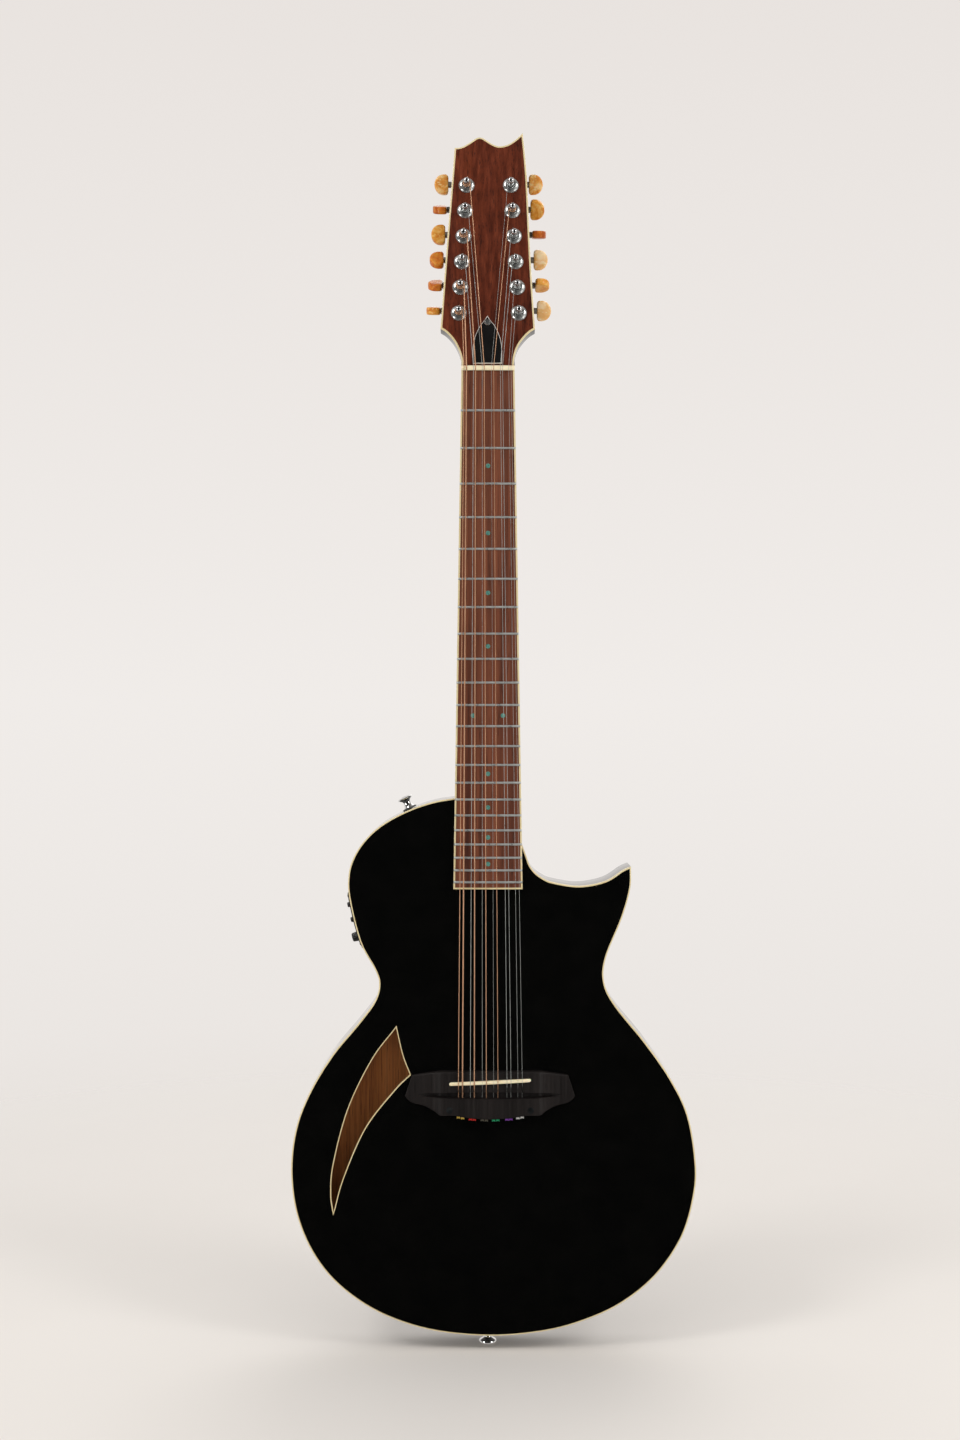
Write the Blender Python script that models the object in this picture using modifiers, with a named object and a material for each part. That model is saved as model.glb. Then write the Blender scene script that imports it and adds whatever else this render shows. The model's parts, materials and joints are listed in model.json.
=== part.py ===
"""Twelve-string acoustic-electric guitar with a single cutaway and a crescent soundhole.

Metres, +Z up. The strings run along Z, the front faces -Y, and +X is the treble side.
The origin is the outer face of the end strap button, at mid-depth of the body.
Flat work is drawn in plan coordinates (x, v, w): v runs up the object and w points to the front.
"""
import math

import bmesh
import bpy
from mathutils import Matrix, Vector

MM = 0.001

# Clearance between neighbours, how far joined solids run into each other, how far a cut runs past a face,
# and the shortest side of an outline that was moved in or out
GAP = 0.3 * MM
LAP = 1 * MM
PAST = 2 * MM
SHORTEST_SIDE = 0.3 * MM

# Body
BODY_LENGTH = 489.4 * MM
BODY_WIDTH = 368.4 * MM
BODY_DEPTH = 50 * MM
TOP_THICKNESS = 3.5 * MM
BACK_THICKNESS = 3.7 * MM
SIDE_THICKNESS = 3 * MM
LINING_WIDTH = 6 * MM
LINING_HEIGHT = 8 * MM
BODY_BINDING_WIDTH = 2 * MM
BODY_BINDING_DEPTH = 6 * MM
NECK_BLOCK_LENGTH = 48 * MM
END_BLOCK = (80 * MM, 22 * MM)
BRACE_WIDTH = 8 * MM
BRACE_HEIGHT = 9 * MM
BRIDGE_PLATE_THICKNESS = 3 * MM

# Neck, fingerboard and nut
SCALE_LENGTH = 645.2 * MM
SADDLE_TO_BODY_END = 232.5 * MM
FRET_COUNT = 22
FRET_WIDTH = 2.4 * MM
FRET_HEIGHT = 1.0 * MM
BOARD_OVER_BODY = 82.4 * MM
BOARD_THICKNESS = 6 * MM
BOARD_BINDING_WIDTH = 2 * MM
NUT_WIDTH = 48.4 * MM
BOARD_END_WIDTH = 62.9 * MM
NUT_THICKNESS = 4.5 * MM
NUT_HEIGHT = 7.7 * MM
NECK_DEPTH_AT_NUT = 15.0 * MM
NECK_DEPTH_AT_HEEL = 17.0 * MM
HEEL_DEPTH = 44 * MM
HEEL_LENGTH = 66 * MM
TENON = (40 * MM, 33 * MM, 26 * MM)

# Back of the neck from heel to shaft: share of the heel's length, share of its depth, roundness
HEEL_SECTIONS = (
    (0, 1, 2.6), (0.12, 0.93, 2.6), (0.3, 0.62, 2.4), (0.5, 0.28, 2.2), (0.72, 0.08, 2.1), (1, 0, 2.1),
)
SHAFT_ROUNDNESS = 2.1
SHAFT_END_BELOW_NUT = 25 * MM

# Headstock
HEAD_TILT = math.radians(8)
HEAD_THICKNESS = 15 * MM
FACEPLATE_THICKNESS = 1.6 * MM
HEAD_RISE = 3 * MM
NUT_TO_FACE = 0.6 * MM
HEAD_ROOT_LENGTH = 7 * MM

# Tuners
TUNERS_PER_SIDE = 6
FIRST_POST = 49.6 * MM
POST_SPACING = 24.53 * MM
POST_HALF_SPREAD_LOW = 27.35 * MM
POST_HALF_SPREAD_HIGH = 20.35 * MM
POST_CENTRE_X = 0.8 * MM
POST_RADIUS = 2.9 * MM
POST_HEIGHT = 13.5 * MM
BUSHING_RADIUS = 7.4 * MM
BUSHING_HEIGHT = 2.2 * MM
WHEEL_RADIUS = 5.5 * MM
WHEEL_THICKNESS = 3.4 * MM
WHEEL_TEETH = 14
WORM_RADIUS = 3.1 * MM
WORM_LENGTH = 10 * MM
WORM_THREADS = 2
TOOTH_DEPTH = 0.9 * MM
GEAR_CLEARANCE = 0.5 * MM
POCKET_CLEARANCE = 0.8 * MM
KEY_SHAFT_RADIUS = 1.6 * MM
KEY_COLLAR_RADIUS = 2.9 * MM
KEY_COLLAR_LENGTH = 3 * MM
KEY_REACH = 17 * MM
BUTTON_LENGTH = 13.2 * MM
BUTTON_HEIGHT = 18.5 * MM
BUTTON_THICKNESS = 7 * MM
BUTTON_BEVEL = 1.8 * MM
HOUSING_WALL = 1.2 * MM
PLATE_THICKNESS = 1.5 * MM
PLATE_MARGIN = 1 * MM
PLATE_END = 4 * MM

# How far each key is turned at rest, in degrees, lowest first: at 0 the thin edge of its button
# faces the way the headstock faces
BASS_KEY_ANGLES = (23, 36, 61, 91, 29, 98)
TREBLE_KEY_ANGLES = (67, 5, 67, -19, 47, 67)

# Bridge and saddle
BRIDGE_CENTRE_X = 1.9 * MM
BRIDGE_WING_THICKNESS = 4.3 * MM
BRIDGE_THICKNESS = 7.7 * MM
BRIDGE_BLOCK_HALF = 45.2 * MM
SADDLE_LENGTH = 74.2 * MM
SADDLE_THICKNESS = 3.2 * MM
SADDLE_SLANT = math.radians(2.7)
SADDLE_HEIGHT = 10.3 * MM
SLOT_FLOOR = 1 * MM
PICKUP_THICKNESS = 0.8 * MM
PICKUP_INSET = 2 * MM
GROOVE_HALF_LENGTH = 62.5 * MM
GROOVE_HALF_WIDTH = 2.8 * MM
GROOVE_TO_SADDLE = 12.2 * MM
GROOVE_FLOOR = 2.1 * MM
STRING_HOLE_HEIGHT = 3.7 * MM
STRING_HOLE_RADIUS = 1.0 * MM

# Strings, bass side first: diameter, x at the nut, x at the saddle
STRINGS_MM = (
    (0.686, -21.7, -26.8), (1.194, -19.5, -23.1),
    (0.457, -13.2, -16.0), (0.991, -11.3, -12.4),
    (0.305, -5.2, -5.2), (0.762, -3.4, -1.5),
    (0.203, 3.1, 5.1), (0.584, 5.2, 9.0),
    (0.356, 11.2, 17.2), (0.356, 13.2, 20.8),
    (0.254, 18.8, 27.1), (0.254, 20.9, 31.0),
)
WOUND_STRINGS = (0, 1, 3, 5, 7)
BALL_RADIUS = 1.6 * MM
BALL_LENGTH = 2.4 * MM
STRING_TURNS = 2
TURN_POINTS = 8
TURN_GAP = 0.5 * MM
WINDING_START = 6.5 * MM

# Truss rod
ROD_RADIUS = 2.8 * MM
ROD_DEPTH = 5 * MM
ROD_CHANNEL_WIDTH = 6.6 * MM
ROD_START = 14 * MM
ROD_END = 14 * MM
ROD_NUT = (8 * MM, 20 * MM)
ROD_NUT_RADIUS = 4 * MM
ROD_POCKET = (7 * MM, 3 * MM, 34 * MM, 11 * MM)
COVER_LENGTH = 45 * MM
COVER_HALF_WIDTH = 13.2 * MM
COVER_THICKNESS = 1.6 * MM
COVER_CENTRE_X = -0.5 * MM
COVER_START = 1.5 * MM

# Half of the cover's bell shape: shares of its half width and of its length, from the tip down
COVER_SHAPE = ((0, 1), (0.22, 0.9), (0.53, 0.78), (0.88, 0.54), (1, 0.3), (1, 0))

# Hardware on the sides
END_BUTTON_HEIGHT = 14.2 * MM
END_BUTTON_RADIUS = 7.8 * MM
UPPER_BUTTON_HEIGHT = 12 * MM
UPPER_BUTTON_RADIUS = 7.25 * MM
UPPER_BUTTON_X = -72 * MM
SHANK_RADIUS = 2 * MM
SHANK_LENGTH = 16 * MM
BORE_END = 1 * MM
FLANGE_THICKNESS = 2.2 * MM
FLANGE_ROUND = 1.2 * MM
JACK_RADIUS = 9 * MM
JACK_LIP = 2 * MM
JACK_BARREL_RADIUS = 5.5 * MM
JACK_BORE_RADIUS = 3.3 * MM
JACK_BARREL_LENGTH = 24 * MM
JACK_BORE_DEPTH = 12 * MM
PANEL_LENGTH = 50 * MM
PANEL_WIDTH = 32 * MM
PANEL_THICKNESS = 1.5 * MM
PREAMP_BOX_WIDTH = 26 * MM
PREAMP_BOX_DEPTH = 24 * MM
PREAMP_BOX_MARGIN = 5 * MM
PREAMP_BOX_BACK = 0.4 * MM
PREAMP_ROOT_INSET = 3 * MM

# Knobs: name, height from the panel's middle, radius and rise off the panel
KNOBS = (
    ("volume_knob", -16 * MM, 4.4 * MM, 6.5 * MM),
    ("bass_knob", -0.5 * MM, 2.5 * MM, 3.4 * MM),
    ("treble_knob", 13 * MM, 2.5 * MM, 3.4 * MM),
)
KNOB_SHAFT_RADIUS = 1.4 * MM
KNOB_SHAFT_LENGTH = 5 * MM

# What is placed in the outline's own millimetres. Braces: name, x from and to, and height
TOP_BRACES_MM = (
    ("upper_brace", -75, 80, 336), ("waist_brace", -58, 88, 294),
    ("middle_brace", -102, 150, 140), ("lower_brace", -105, 118, 78),
)
BACK_BRACES_MM = (
    ("back_brace_low", -125, 135, 95), ("back_brace_middle", -125, 135, 205),
    ("back_brace_waist", -78, 84, 318),
)
BRIDGE_PLATE_MM = ((-58, 200), (70, 246))
PANEL_MIDDLE_MM = (0, 377.5)

# Outline of the body for a body of 489.4 by 368.4 mm: x from the neck's centreline and height
# above the lowest point of the body, from the neck's bass side round to the tip of the horn
OUTLINE_SIZE_MM = (368.4, 489.4)
BOUTS_MM = (
    (-49.6, 486.1), (-72, 478.5), (-94.6, 466.6), (-110.5, 453), (-121.5, 437.2), (-126.9, 420),
    (-126.2, 398), (-116.3, 358.5), (-103, 333.5), (-99.1, 320.3), (-103.3, 304.3),
    (-118.5, 283.6), (-141.5, 255.8), (-161.7, 222.8), (-174.6, 189.7), (-179.2, 152),
    (-174.6, 112.4), (-160, 76.3), (-135.9, 46.2), (-99, 21.1), (-53, 5.4), (0, 0),
    (47.6, 3.6), (84.4, 12.8), (121.1, 29.4), (153, 55.3), (176.5, 89.8), (187.5, 126.8),
    (189.2, 157.8), (182, 200.7), (166.3, 233.8), (143.4, 266.8), (117.1, 299.3),
    (106.2, 320.5), (107.3, 343.5), (122, 380.1), (129.6, 407), (130.4, 427),
)
CUTAWAY_MM = (
    (130.4, 427), (122.7, 423.6), (106.8, 413.8), (83, 409.4), (58.8, 412.9),
    (43.2, 421.6), (37, 431.5), (33.2, 448),
)

# Crescent soundhole: the long outer side, the short upper side and the inner side
CRESCENT_MM = (
    ((-83.7, 280.3), (-105.5, 251.1), (-127.4, 205.6), (-140.6, 155.6), (-142.7, 129.2), (-140.7, 112.3)),
    ((-140.7, 112.3), (-131.9, 143.7), (-111.9, 189.2), (-85.1, 223.8), (-71.1, 237.7)),
    ((-71.1, 237.7), (-77.9, 255.5), (-83.7, 280.3)),
)
CRESCENT_BINDING = 1.6 * MM

# Outline of the headstock: x from the neck's centreline and distance up the face from the nut
HEAD_SIDES_MM = (
    ((-23.9, 0), (-24.4, 7), (-26.8, 15), (-31.5, 24), (-38, 31.5), (-43.2, 35)),
    ((-43.2, 35), (-38.4, 106), (-30.7, 209)),
    ((-30.7, 209), (-24.8, 209.3), (-14.6, 215.6), (-6.3, 219.4), (2, 213.5), (10.3, 210.1), (17.7, 212),
     (32.4, 223.5)),
    ((32.4, 223.5), (35.9, 181.3), (38.9, 106), (42.9, 34.6)),
    ((42.9, 34.6), (38, 31.4), (32.8, 26), (27.6, 18.4), (24.4, 9), (23.4, 0)),
)

# Outline of one half of the bridge: x from its middle, and height above the lowest point
BRIDGE_HALF_MM = (
    (0, 0), (19, 1.2), (32, 3.3), (45.2, 3.5), (49.3, 6.3), (58.8, 11.4), (70, 14.2),
    (74.7, 17.1), (77.2, 20.5), (71, 39.5), (45.2, 43.2),
)
BRIDGE_TO_SADDLE = 34 * MM

# Heights and planes that follow from the sizes above
BODY_END_Z = END_BUTTON_HEIGHT
BODY_TOP_Z = BODY_END_Z + BODY_LENGTH
SADDLE_Z = BODY_END_Z + SADDLE_TO_BODY_END
NUT_Z = SADDLE_Z + SCALE_LENGTH
BOARD_END_Z = BODY_TOP_Z - BOARD_OVER_BODY
FRONT = BODY_DEPTH / 2
REAR = -BODY_DEPTH / 2
TOP_UNDERSIDE = FRONT - TOP_THICKNESS
BACK_INSIDE = REAR + BACK_THICKNESS
BOARD_BASE = FRONT + GAP
BOARD_FACE = BOARD_BASE + BOARD_THICKNESS
NUT_FACE = BOARD_BASE + NUT_HEIGHT
SADDLE_FACE = BOARD_BASE + SADDLE_HEIGHT
HEAD_Z = NUT_Z + NUT_THICKNESS + NUT_TO_FACE
HEAD_W = FRONT + HEAD_RISE
KEY_OFFSET = WHEEL_RADIUS + WORM_RADIUS + GAP
GEAR_DEPTH = HEAD_THICKNESS + WORM_RADIUS + GEAR_CLEARANCE

# Local frames: plan coordinates of the body and of the headstock face
BODY_FRAME = Matrix.Rotation(math.radians(90), 4, "X")
HEAD_FRAME = Matrix.Translation((0, -HEAD_W, HEAD_Z)) @ Matrix.Rotation(math.radians(90) - HEAD_TILT, 4, "X")

FINISHES = {
    "gloss_black": ((0.004, 0.004, 0.004), 0.08, 0),
    "rosewood": ((0.11, 0.03, 0.012), 0.35, 0),
    "fingerboard_wood": ((0.14, 0.05, 0.022), 0.55, 0),
    "bridge_wood": ((0.015, 0.013, 0.011), 0.45, 0),
    "cream": ((0.78, 0.68, 0.42), 0.3, 0),
    "bone": ((0.82, 0.66, 0.48), 0.4, 0),
    "chrome": ((0.8, 0.8, 0.8), 0.12, 1),
    "dark_metal": ((0.12, 0.11, 0.1), 0.35, 1),
    "steel": ((0.6, 0.6, 0.6), 0.25, 1),
    "bronze": ((0.6, 0.3, 0.12), 0.3, 1),
    "amber": ((0.75, 0.38, 0.08), 0.2, 0),
    "black_plastic": ((0.012, 0.012, 0.012), 0.35, 0),
    "spruce": ((0.6, 0.42, 0.22), 0.6, 0),
    "mahogany": ((0.22, 0.08, 0.035), 0.55, 0),
}


# Scene, collections and materials

def clear_scene():
    for item in list(bpy.data.objects):
        bpy.data.objects.remove(item, do_unlink=True)


def new_collection(name):
    collection = bpy.data.collections.new(name)
    bpy.context.scene.collection.children.link(collection)
    return collection


clear_scene()
PARTS = new_collection("twelve_string_guitar")
CUTTERS = new_collection("cutters")


def material(name):
    found = bpy.data.materials.get(name)
    if found:
        return found
    colour, roughness, metallic = FINISHES[name]
    made = bpy.data.materials.new(name)
    made.use_nodes = True
    shader = made.node_tree.nodes["Principled BSDF"]
    shader.inputs["Base Color"].default_value = (*colour, 1)
    shader.inputs["Roughness"].default_value = roughness
    shader.inputs["Metallic"].default_value = metallic
    return made


def new_object(name, data, matrix=None):
    made = bpy.data.objects.new(name, data)
    PARTS.objects.link(made)
    if matrix is not None:
        made.matrix_world = matrix
    return made


def as_mesh(item):
    """The object as the viewport shows it, as a mesh object of its own with its caps welded."""
    bpy.context.view_layer.update()
    shown = item.evaluated_get(bpy.context.evaluated_depsgraph_get())
    mesh = bpy.data.meshes.new_from_object(shown)
    work = bmesh.new()
    work.from_mesh(mesh)
    bmesh.ops.remove_doubles(work, verts=work.verts, dist=0.001 * MM)
    work.to_mesh(mesh)
    work.free()
    mesh.name = item.name
    matrix = item.matrix_world.copy()
    name = item.name
    bpy.data.objects.remove(item, do_unlink=True)
    return new_object(name, mesh, matrix)


def finish(item, slot, smooth_degrees=35):
    item.data.materials.clear()
    item.data.materials.append(material(slot))
    if item.type == "MESH":
        item.data.shade_smooth()
        item.data.set_sharp_from_angle(angle=math.radians(smooth_degrees))
    return item


# Solids

def plate(name, loops, near, far, frame=BODY_FRAME):
    """A flat outline between two depths w, with its inner loops left open."""
    curve = bpy.data.curves.new(name, "CURVE")
    curve.dimensions = "2D"
    curve.fill_mode = "BOTH"
    curve.extrude = abs(far - near) / 2
    for loop in loops:
        spline = curve.splines.new("POLY")
        spline.points.add(len(loop) - 1)
        for point, (x, v) in zip(spline.points, loop):
            point.co = (x, v, 0, 1)
        spline.use_cyclic_u = True
    middle = Matrix.Translation((0, 0, (near + far) / 2))
    return as_mesh(new_object(name, curve, frame @ middle))


def boxes(name, corners, frame=BODY_FRAME):
    """Boxes that don't meet, each from its lowest to its highest corner in plan coordinates, as one mesh."""
    mesh = bpy.data.meshes.new(name)
    work = bmesh.new()
    for low, high in corners:
        size = Vector(high) - Vector(low)
        middle = (Vector(high) + Vector(low)) / 2
        bmesh.ops.create_cube(work, size=1, matrix=Matrix.Translation(middle) @ Matrix.Diagonal((*size, 1)))
    work.to_mesh(mesh)
    work.free()
    return new_object(name, mesh, frame)


def box(name, low, high, frame=BODY_FRAME):
    return boxes(name, [(low, high)], frame)


def rods(name, ends, radius, sides=16, frame=None):
    """Straight round rods of one radius, each from its first to its second end."""
    mesh = bpy.data.meshes.new(name)
    work = bmesh.new()
    for start, end in ends:
        start = Vector(start)
        along = Vector(end) - start
        turn = along.to_track_quat("Z", "Y").to_matrix().to_4x4()
        place = Matrix.Translation(start + along / 2) @ turn
        bmesh.ops.create_cone(work, cap_ends=True, segments=sides, radius1=radius, radius2=radius,
                              depth=along.length, matrix=place)
    work.to_mesh(mesh)
    work.free()
    return new_object(name, mesh, frame or Matrix.Identity(4))


def turned(name, profile, matrix=None, sides=16, closed=False):
    """A profile of (radius, height) from top to bottom, turned about its Z axis."""
    mesh = bpy.data.meshes.new(name)
    edges = [(i, i + 1) for i in range(len(profile) - 1)]
    if closed:
        edges.append((len(profile) - 1, 0))
    mesh.from_pydata([(radius, 0, height) for radius, height in profile], edges, [])
    item = new_object(name, mesh, matrix)
    screw = item.modifiers.new("turn", "SCREW")
    screw.steps = sides
    screw.render_steps = sides
    screw.use_merge_vertices = True
    screw.merge_threshold = 0.001 * MM
    return as_mesh(item)


def loft(name, sections, frame=BODY_FRAME):
    """A closed solid through rings of as many points each."""
    mesh = bpy.data.meshes.new(name)
    work = bmesh.new()
    rings = [[work.verts.new(point) for point in section] for section in sections]
    for lower, upper in zip(rings, rings[1:]):
        for i in range(len(lower)):
            j = (i + 1) % len(lower)
            work.faces.new((lower[i], lower[j], upper[j], upper[i]))
    work.faces.new(reversed(rings[0]))
    work.faces.new(rings[-1])
    bmesh.ops.recalc_face_normals(work, faces=work.faces)
    work.to_mesh(mesh)
    work.free()
    return new_object(name, mesh, frame)


def tube(name, points, radii):
    """A round tube along world points, which are few enough to be a polyline."""
    curve = bpy.data.curves.new(name, "CURVE")
    curve.dimensions = "3D"
    curve.bevel_depth = 1
    curve.bevel_resolution = 1
    curve.use_fill_caps = True
    spline = curve.splines.new("POLY")
    spline.points.add(len(points) - 1)
    for knot, point, radius in zip(spline.points, points, radii):
        knot.co = (*point, 1)
        knot.radius = radius
    return new_object(name, curve)


def combine(target, other, operation):
    """A Boolean that stays on the target, with the other solid kept among the cutters."""
    PARTS.objects.unlink(other)
    CUTTERS.objects.link(other)
    other.hide_render = True
    other.display_type = "WIRE"
    boolean = target.modifiers.new(other.name, "BOOLEAN")
    boolean.operation = operation
    boolean.solver = "EXACT"
    boolean.object = other
    return target


def cut(target, *others):
    for other in others:
        combine(target, other, "DIFFERENCE")
    return target


def join(target, *others):
    for other in others:
        combine(target, other, "UNION")
    return target


# Outlines

def smooth(points, steps):
    """A smooth curve through every point, with so many steps between each pair."""
    ends = [2 * Vector(points[0]) - Vector(points[1]), 2 * Vector(points[-1]) - Vector(points[-2])]
    knots = [ends[0], *map(Vector, points), ends[1]]
    line = []
    for before, start, end, after in zip(knots, knots[1:], knots[2:], knots[3:]):
        for i in range(steps):
            t = i / steps
            line.append(0.5 * (
                2 * start + (end - before) * t
                + (2 * before - 5 * start + 4 * end - after) * t ** 2
                + (3 * start - before - 3 * end + after) * t ** 3))
    line.append(Vector(points[-1]))
    return [tuple(point) for point in line]


def chain(stretches, steps):
    """A closed loop of smooth stretches that meet at corners."""
    loop = []
    for stretch in stretches:
        loop += smooth(stretch, steps)[:-1]
    return loop


def signed_area(loop):
    return sum(a[0] * b[1] - b[0] * a[1] for a, b in zip(loop, loop[1:] + loop[:1])) / 2


def distance_to(loop, point):
    """Distance from a point to the nearest side of a closed loop."""
    best = math.inf
    here = Vector(point)
    for a, b in zip(loop, loop[1:] + loop[:1]):
        a, b = Vector(a), Vector(b)
        side = b - a
        share = max(0, min(1, (here - a).dot(side) / max(side.length_squared, 1e-18)))
        best = min(best, (here - a - share * side).length)
    return best


def offset(loop, distance):
    """The loop moved inward by a distance, or outward by a negative one, without what folds over at a tip."""
    turn = 1 if signed_area(loop) > 0 else -1
    moved = []
    for before, here, after in zip(loop[-1:] + loop[:-1], loop, loop[1:] + loop[:1]):
        before, here, after = Vector(before), Vector(here), Vector(after)
        first = (here - before).normalized()
        second = (after - here).normalized()
        normal = Vector((-first.y, first.x)) * turn
        other = Vector((-second.y, second.x)) * turn
        middle = (normal + other).normalized()
        moved.append(here + middle * distance / max(0.35, middle.dot(normal)))
    kept = []
    for point in moved:
        clear = distance_to(loop, point) > 0.97 * abs(distance)
        if clear and (not kept or (point - kept[-1]).length > SHORTEST_SIDE):
            kept.append(point)
    return [tuple(point) for point in kept]


def clipped_below(loop, height):
    """The part of a loop that lies below a height."""
    kept = []
    for a, b in zip(loop, loop[1:] + loop[:1]):
        if a[1] <= height:
            kept.append(a)
        if (a[1] <= height) != (b[1] <= height):
            share = (height - a[1]) / (b[1] - a[1])
            kept.append((a[0] + share * (b[0] - a[0]), height))
    return kept


def on_body(points_mm):
    """Body outline points in millimetres, at this body's size and place."""
    across = BODY_WIDTH / (OUTLINE_SIZE_MM[0] * MM)
    along = BODY_LENGTH / (OUTLINE_SIZE_MM[1] * MM)
    return [(x * MM * across, BODY_END_Z + z * MM * along) for x, z in points_mm]


def board_half_width(z):
    """Half the width of the fingerboard at a height."""
    share = (NUT_Z - z) / (NUT_Z - BOARD_END_Z)
    return (NUT_WIDTH + (BOARD_END_WIDTH - NUT_WIDTH) * share) / 2


def body_outline(steps=2):
    """The outer edge of the body, with the neck's end of it square across under the fingerboard."""
    corner = board_half_width(BODY_TOP_Z)
    bouts = [(-corner, BODY_TOP_Z), *on_body(BOUTS_MM)]
    cutaway = on_body(CUTAWAY_MM)
    cutaway[-1] = (board_half_width(cutaway[-1][1]), cutaway[-1][1])
    return smooth(bouts, steps)[:-1] + smooth(cutaway, steps) + [(corner, BODY_TOP_Z)]


OUTLINE = body_outline()
CRESCENT = chain([on_body(stretch) for stretch in CRESCENT_MM], 3)
HEAD_OUTLINE = chain([[(x * MM, v * MM) for x, v in side] for side in HEAD_SIDES_MM], 2)


def side_at(height, side):
    """Where the outline crosses a height on one side, and the outward direction there."""
    best = None
    for a, b in zip(OUTLINE, OUTLINE[1:] + OUTLINE[:1]):
        if (a[1] - height) * (b[1] - height) > 0 or a[1] == b[1]:
            continue
        share = (height - a[1]) / (b[1] - a[1])
        x = a[0] + share * (b[0] - a[0])
        if best is None or x * side > best[0] * side:
            along = (Vector(b) - Vector(a)).normalized()
            outward = Vector((-along.y, along.x))
            best = (x, outward if outward.x * side > 0 else -outward)
    return Vector((best[0], height)), best[1]


def shoulder_at(x):
    """Where the upper bass shoulder passes over an x, and the outward direction there."""
    for a, b in zip(OUTLINE, OUTLINE[1:]):
        if (a[0] - x) * (b[0] - x) <= 0 and a[0] != b[0] and a[1] > BODY_TOP_Z - 60 * MM:
            share = (x - a[0]) / (b[0] - a[0])
            along = (Vector(b) - Vector(a)).normalized()
            outward = Vector((-along.y, along.x))
            return Vector((x, a[1] + share * (b[1] - a[1]))), outward if outward.y > 0 else -outward
    raise ValueError("the shoulder doesn't reach this x")


def facing(point, outward):
    """A frame at a plan point of the side, at mid-depth, with its Z axis pointing outward."""
    direction = Vector((outward.x, 0, outward.y))
    place = Matrix.Translation((point.x, 0, point.y))
    return place @ direction.to_track_quat("Z", "Y").to_matrix().to_4x4()


# Body

def braces(corners_mm, low, high):
    """A box for each brace, between two depths w."""
    made = []
    for name, start, end, height in corners_mm:
        (x0, z0), (x1, z1) = on_body([(start, height), (end, height)])
        made.append(box(name, (x0, z0 - BRACE_WIDTH / 2, low), (x1, z1 + BRACE_WIDTH / 2, high)))
    return made


def soundboard():
    loops = [offset(OUTLINE, BODY_BINDING_WIDTH + GAP), offset(CRESCENT, -(CRESCENT_BINDING + GAP))]
    board = plate("soundboard", loops, FRONT, TOP_UNDERSIDE)
    join(board, *braces(TOP_BRACES_MM, TOP_UNDERSIDE - BRACE_HEIGHT, TOP_UNDERSIDE + LAP))
    (x0, z0), (x1, z1) = on_body(BRIDGE_PLATE_MM)
    join(board, box("bridge_plate", (x0, z0, TOP_UNDERSIDE - BRIDGE_PLATE_THICKNESS),
                    (x1, z1, TOP_UNDERSIDE + LAP)))
    return finish(board, "gloss_black")


def body_binding():
    ring = [OUTLINE, offset(OUTLINE, BODY_BINDING_WIDTH)]
    return finish(plate("body_binding", ring, FRONT, FRONT - BODY_BINDING_DEPTH), "cream")


def soundhole_binding():
    ring = [offset(CRESCENT, -CRESCENT_BINDING), CRESCENT]
    return finish(plate("soundhole_binding", ring, FRONT, TOP_UNDERSIDE), "cream")


def tenon_box(name, slack):
    """The neck's tenon, or its pocket with some slack."""
    width, length, depth = TENON
    return box(name, (-width / 2 - slack, BODY_TOP_Z - length - slack, -depth / 2 - slack),
               (width / 2 + slack, BODY_TOP_Z + 3 * GAP, depth / 2 + slack))


def body_rim():
    under_binding = FRONT - BODY_BINDING_DEPTH - GAP
    under_top = TOP_UNDERSIDE - GAP
    behind = BACK_INSIDE + GAP
    rim = plate("body_rim", [OUTLINE], under_binding, behind)
    ledge = plate("rim_ledge", [offset(OUTLINE, BODY_BINDING_WIDTH + GAP)], under_top, under_binding - LAP)
    block_z = BODY_TOP_Z - NECK_BLOCK_LENGTH
    open_between = clipped_below(offset(OUTLINE, SIDE_THICKNESS + LINING_WIDTH), block_z - LINING_WIDTH)
    chamber = clipped_below(offset(OUTLINE, SIDE_THICKNESS), block_z)
    through = plate("between_linings", [open_between], FRONT, REAR)
    hollow = plate("chamber", [chamber], under_top - LINING_HEIGHT, behind + LINING_HEIGHT)
    width, height = END_BLOCK
    end_block = box("end_block", (-width / 2, BODY_END_Z + SIDE_THICKNESS / 2, behind + GAP),
                    (width / 2, BODY_END_Z + height, under_binding - GAP))
    join(rim, ledge)
    cut(rim, through, hollow)
    join(rim, end_block)
    cut(rim, tenon_box("tenon_pocket", GAP), preamp_cutout(), jack_bore(), *button_bores())
    return finish(rim, "gloss_black")


def back_plate():
    back = plate("back_plate", [OUTLINE], BACK_INSIDE, REAR)
    join(back, *braces(BACK_BRACES_MM, BACK_INSIDE - LAP, BACK_INSIDE + BRACE_HEIGHT))
    return finish(back, "gloss_black")


# Hardware on the sides

def panel_middle():
    return on_body([PANEL_MIDDLE_MM])[0][1]


def panel_stretch():
    """The part of the bass side that the preamp panel covers, from its high end down."""
    high = panel_middle() + PANEL_LENGTH / 2
    steps = 8
    return [side_at(high - PANEL_LENGTH * i / steps, -1) for i in range(steps + 1)]


def side_strip(stretch, inner, outer):
    """A closed loop between two distances outside a stretch of the side."""
    outside = [tuple(point + outward * outer) for point, outward in stretch]
    inside = [tuple(point + outward * inner) for point, outward in reversed(stretch)]
    return outside + inside


def preamp_box_loop(slack, outer):
    """The box behind the panel, square to the middle of the panel."""
    stretch = panel_stretch()
    point, outward = stretch[len(stretch) // 2]
    along = Vector((-outward.y, outward.x))
    half = (stretch[0][0] - stretch[-1][0]).length / 2 - PREAMP_BOX_MARGIN + slack
    deep = -PREAMP_BOX_DEPTH - slack
    return [tuple(point + along * s * half + outward * d)
            for s, d in ((1, outer), (1, deep), (-1, deep), (-1, outer))]


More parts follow.
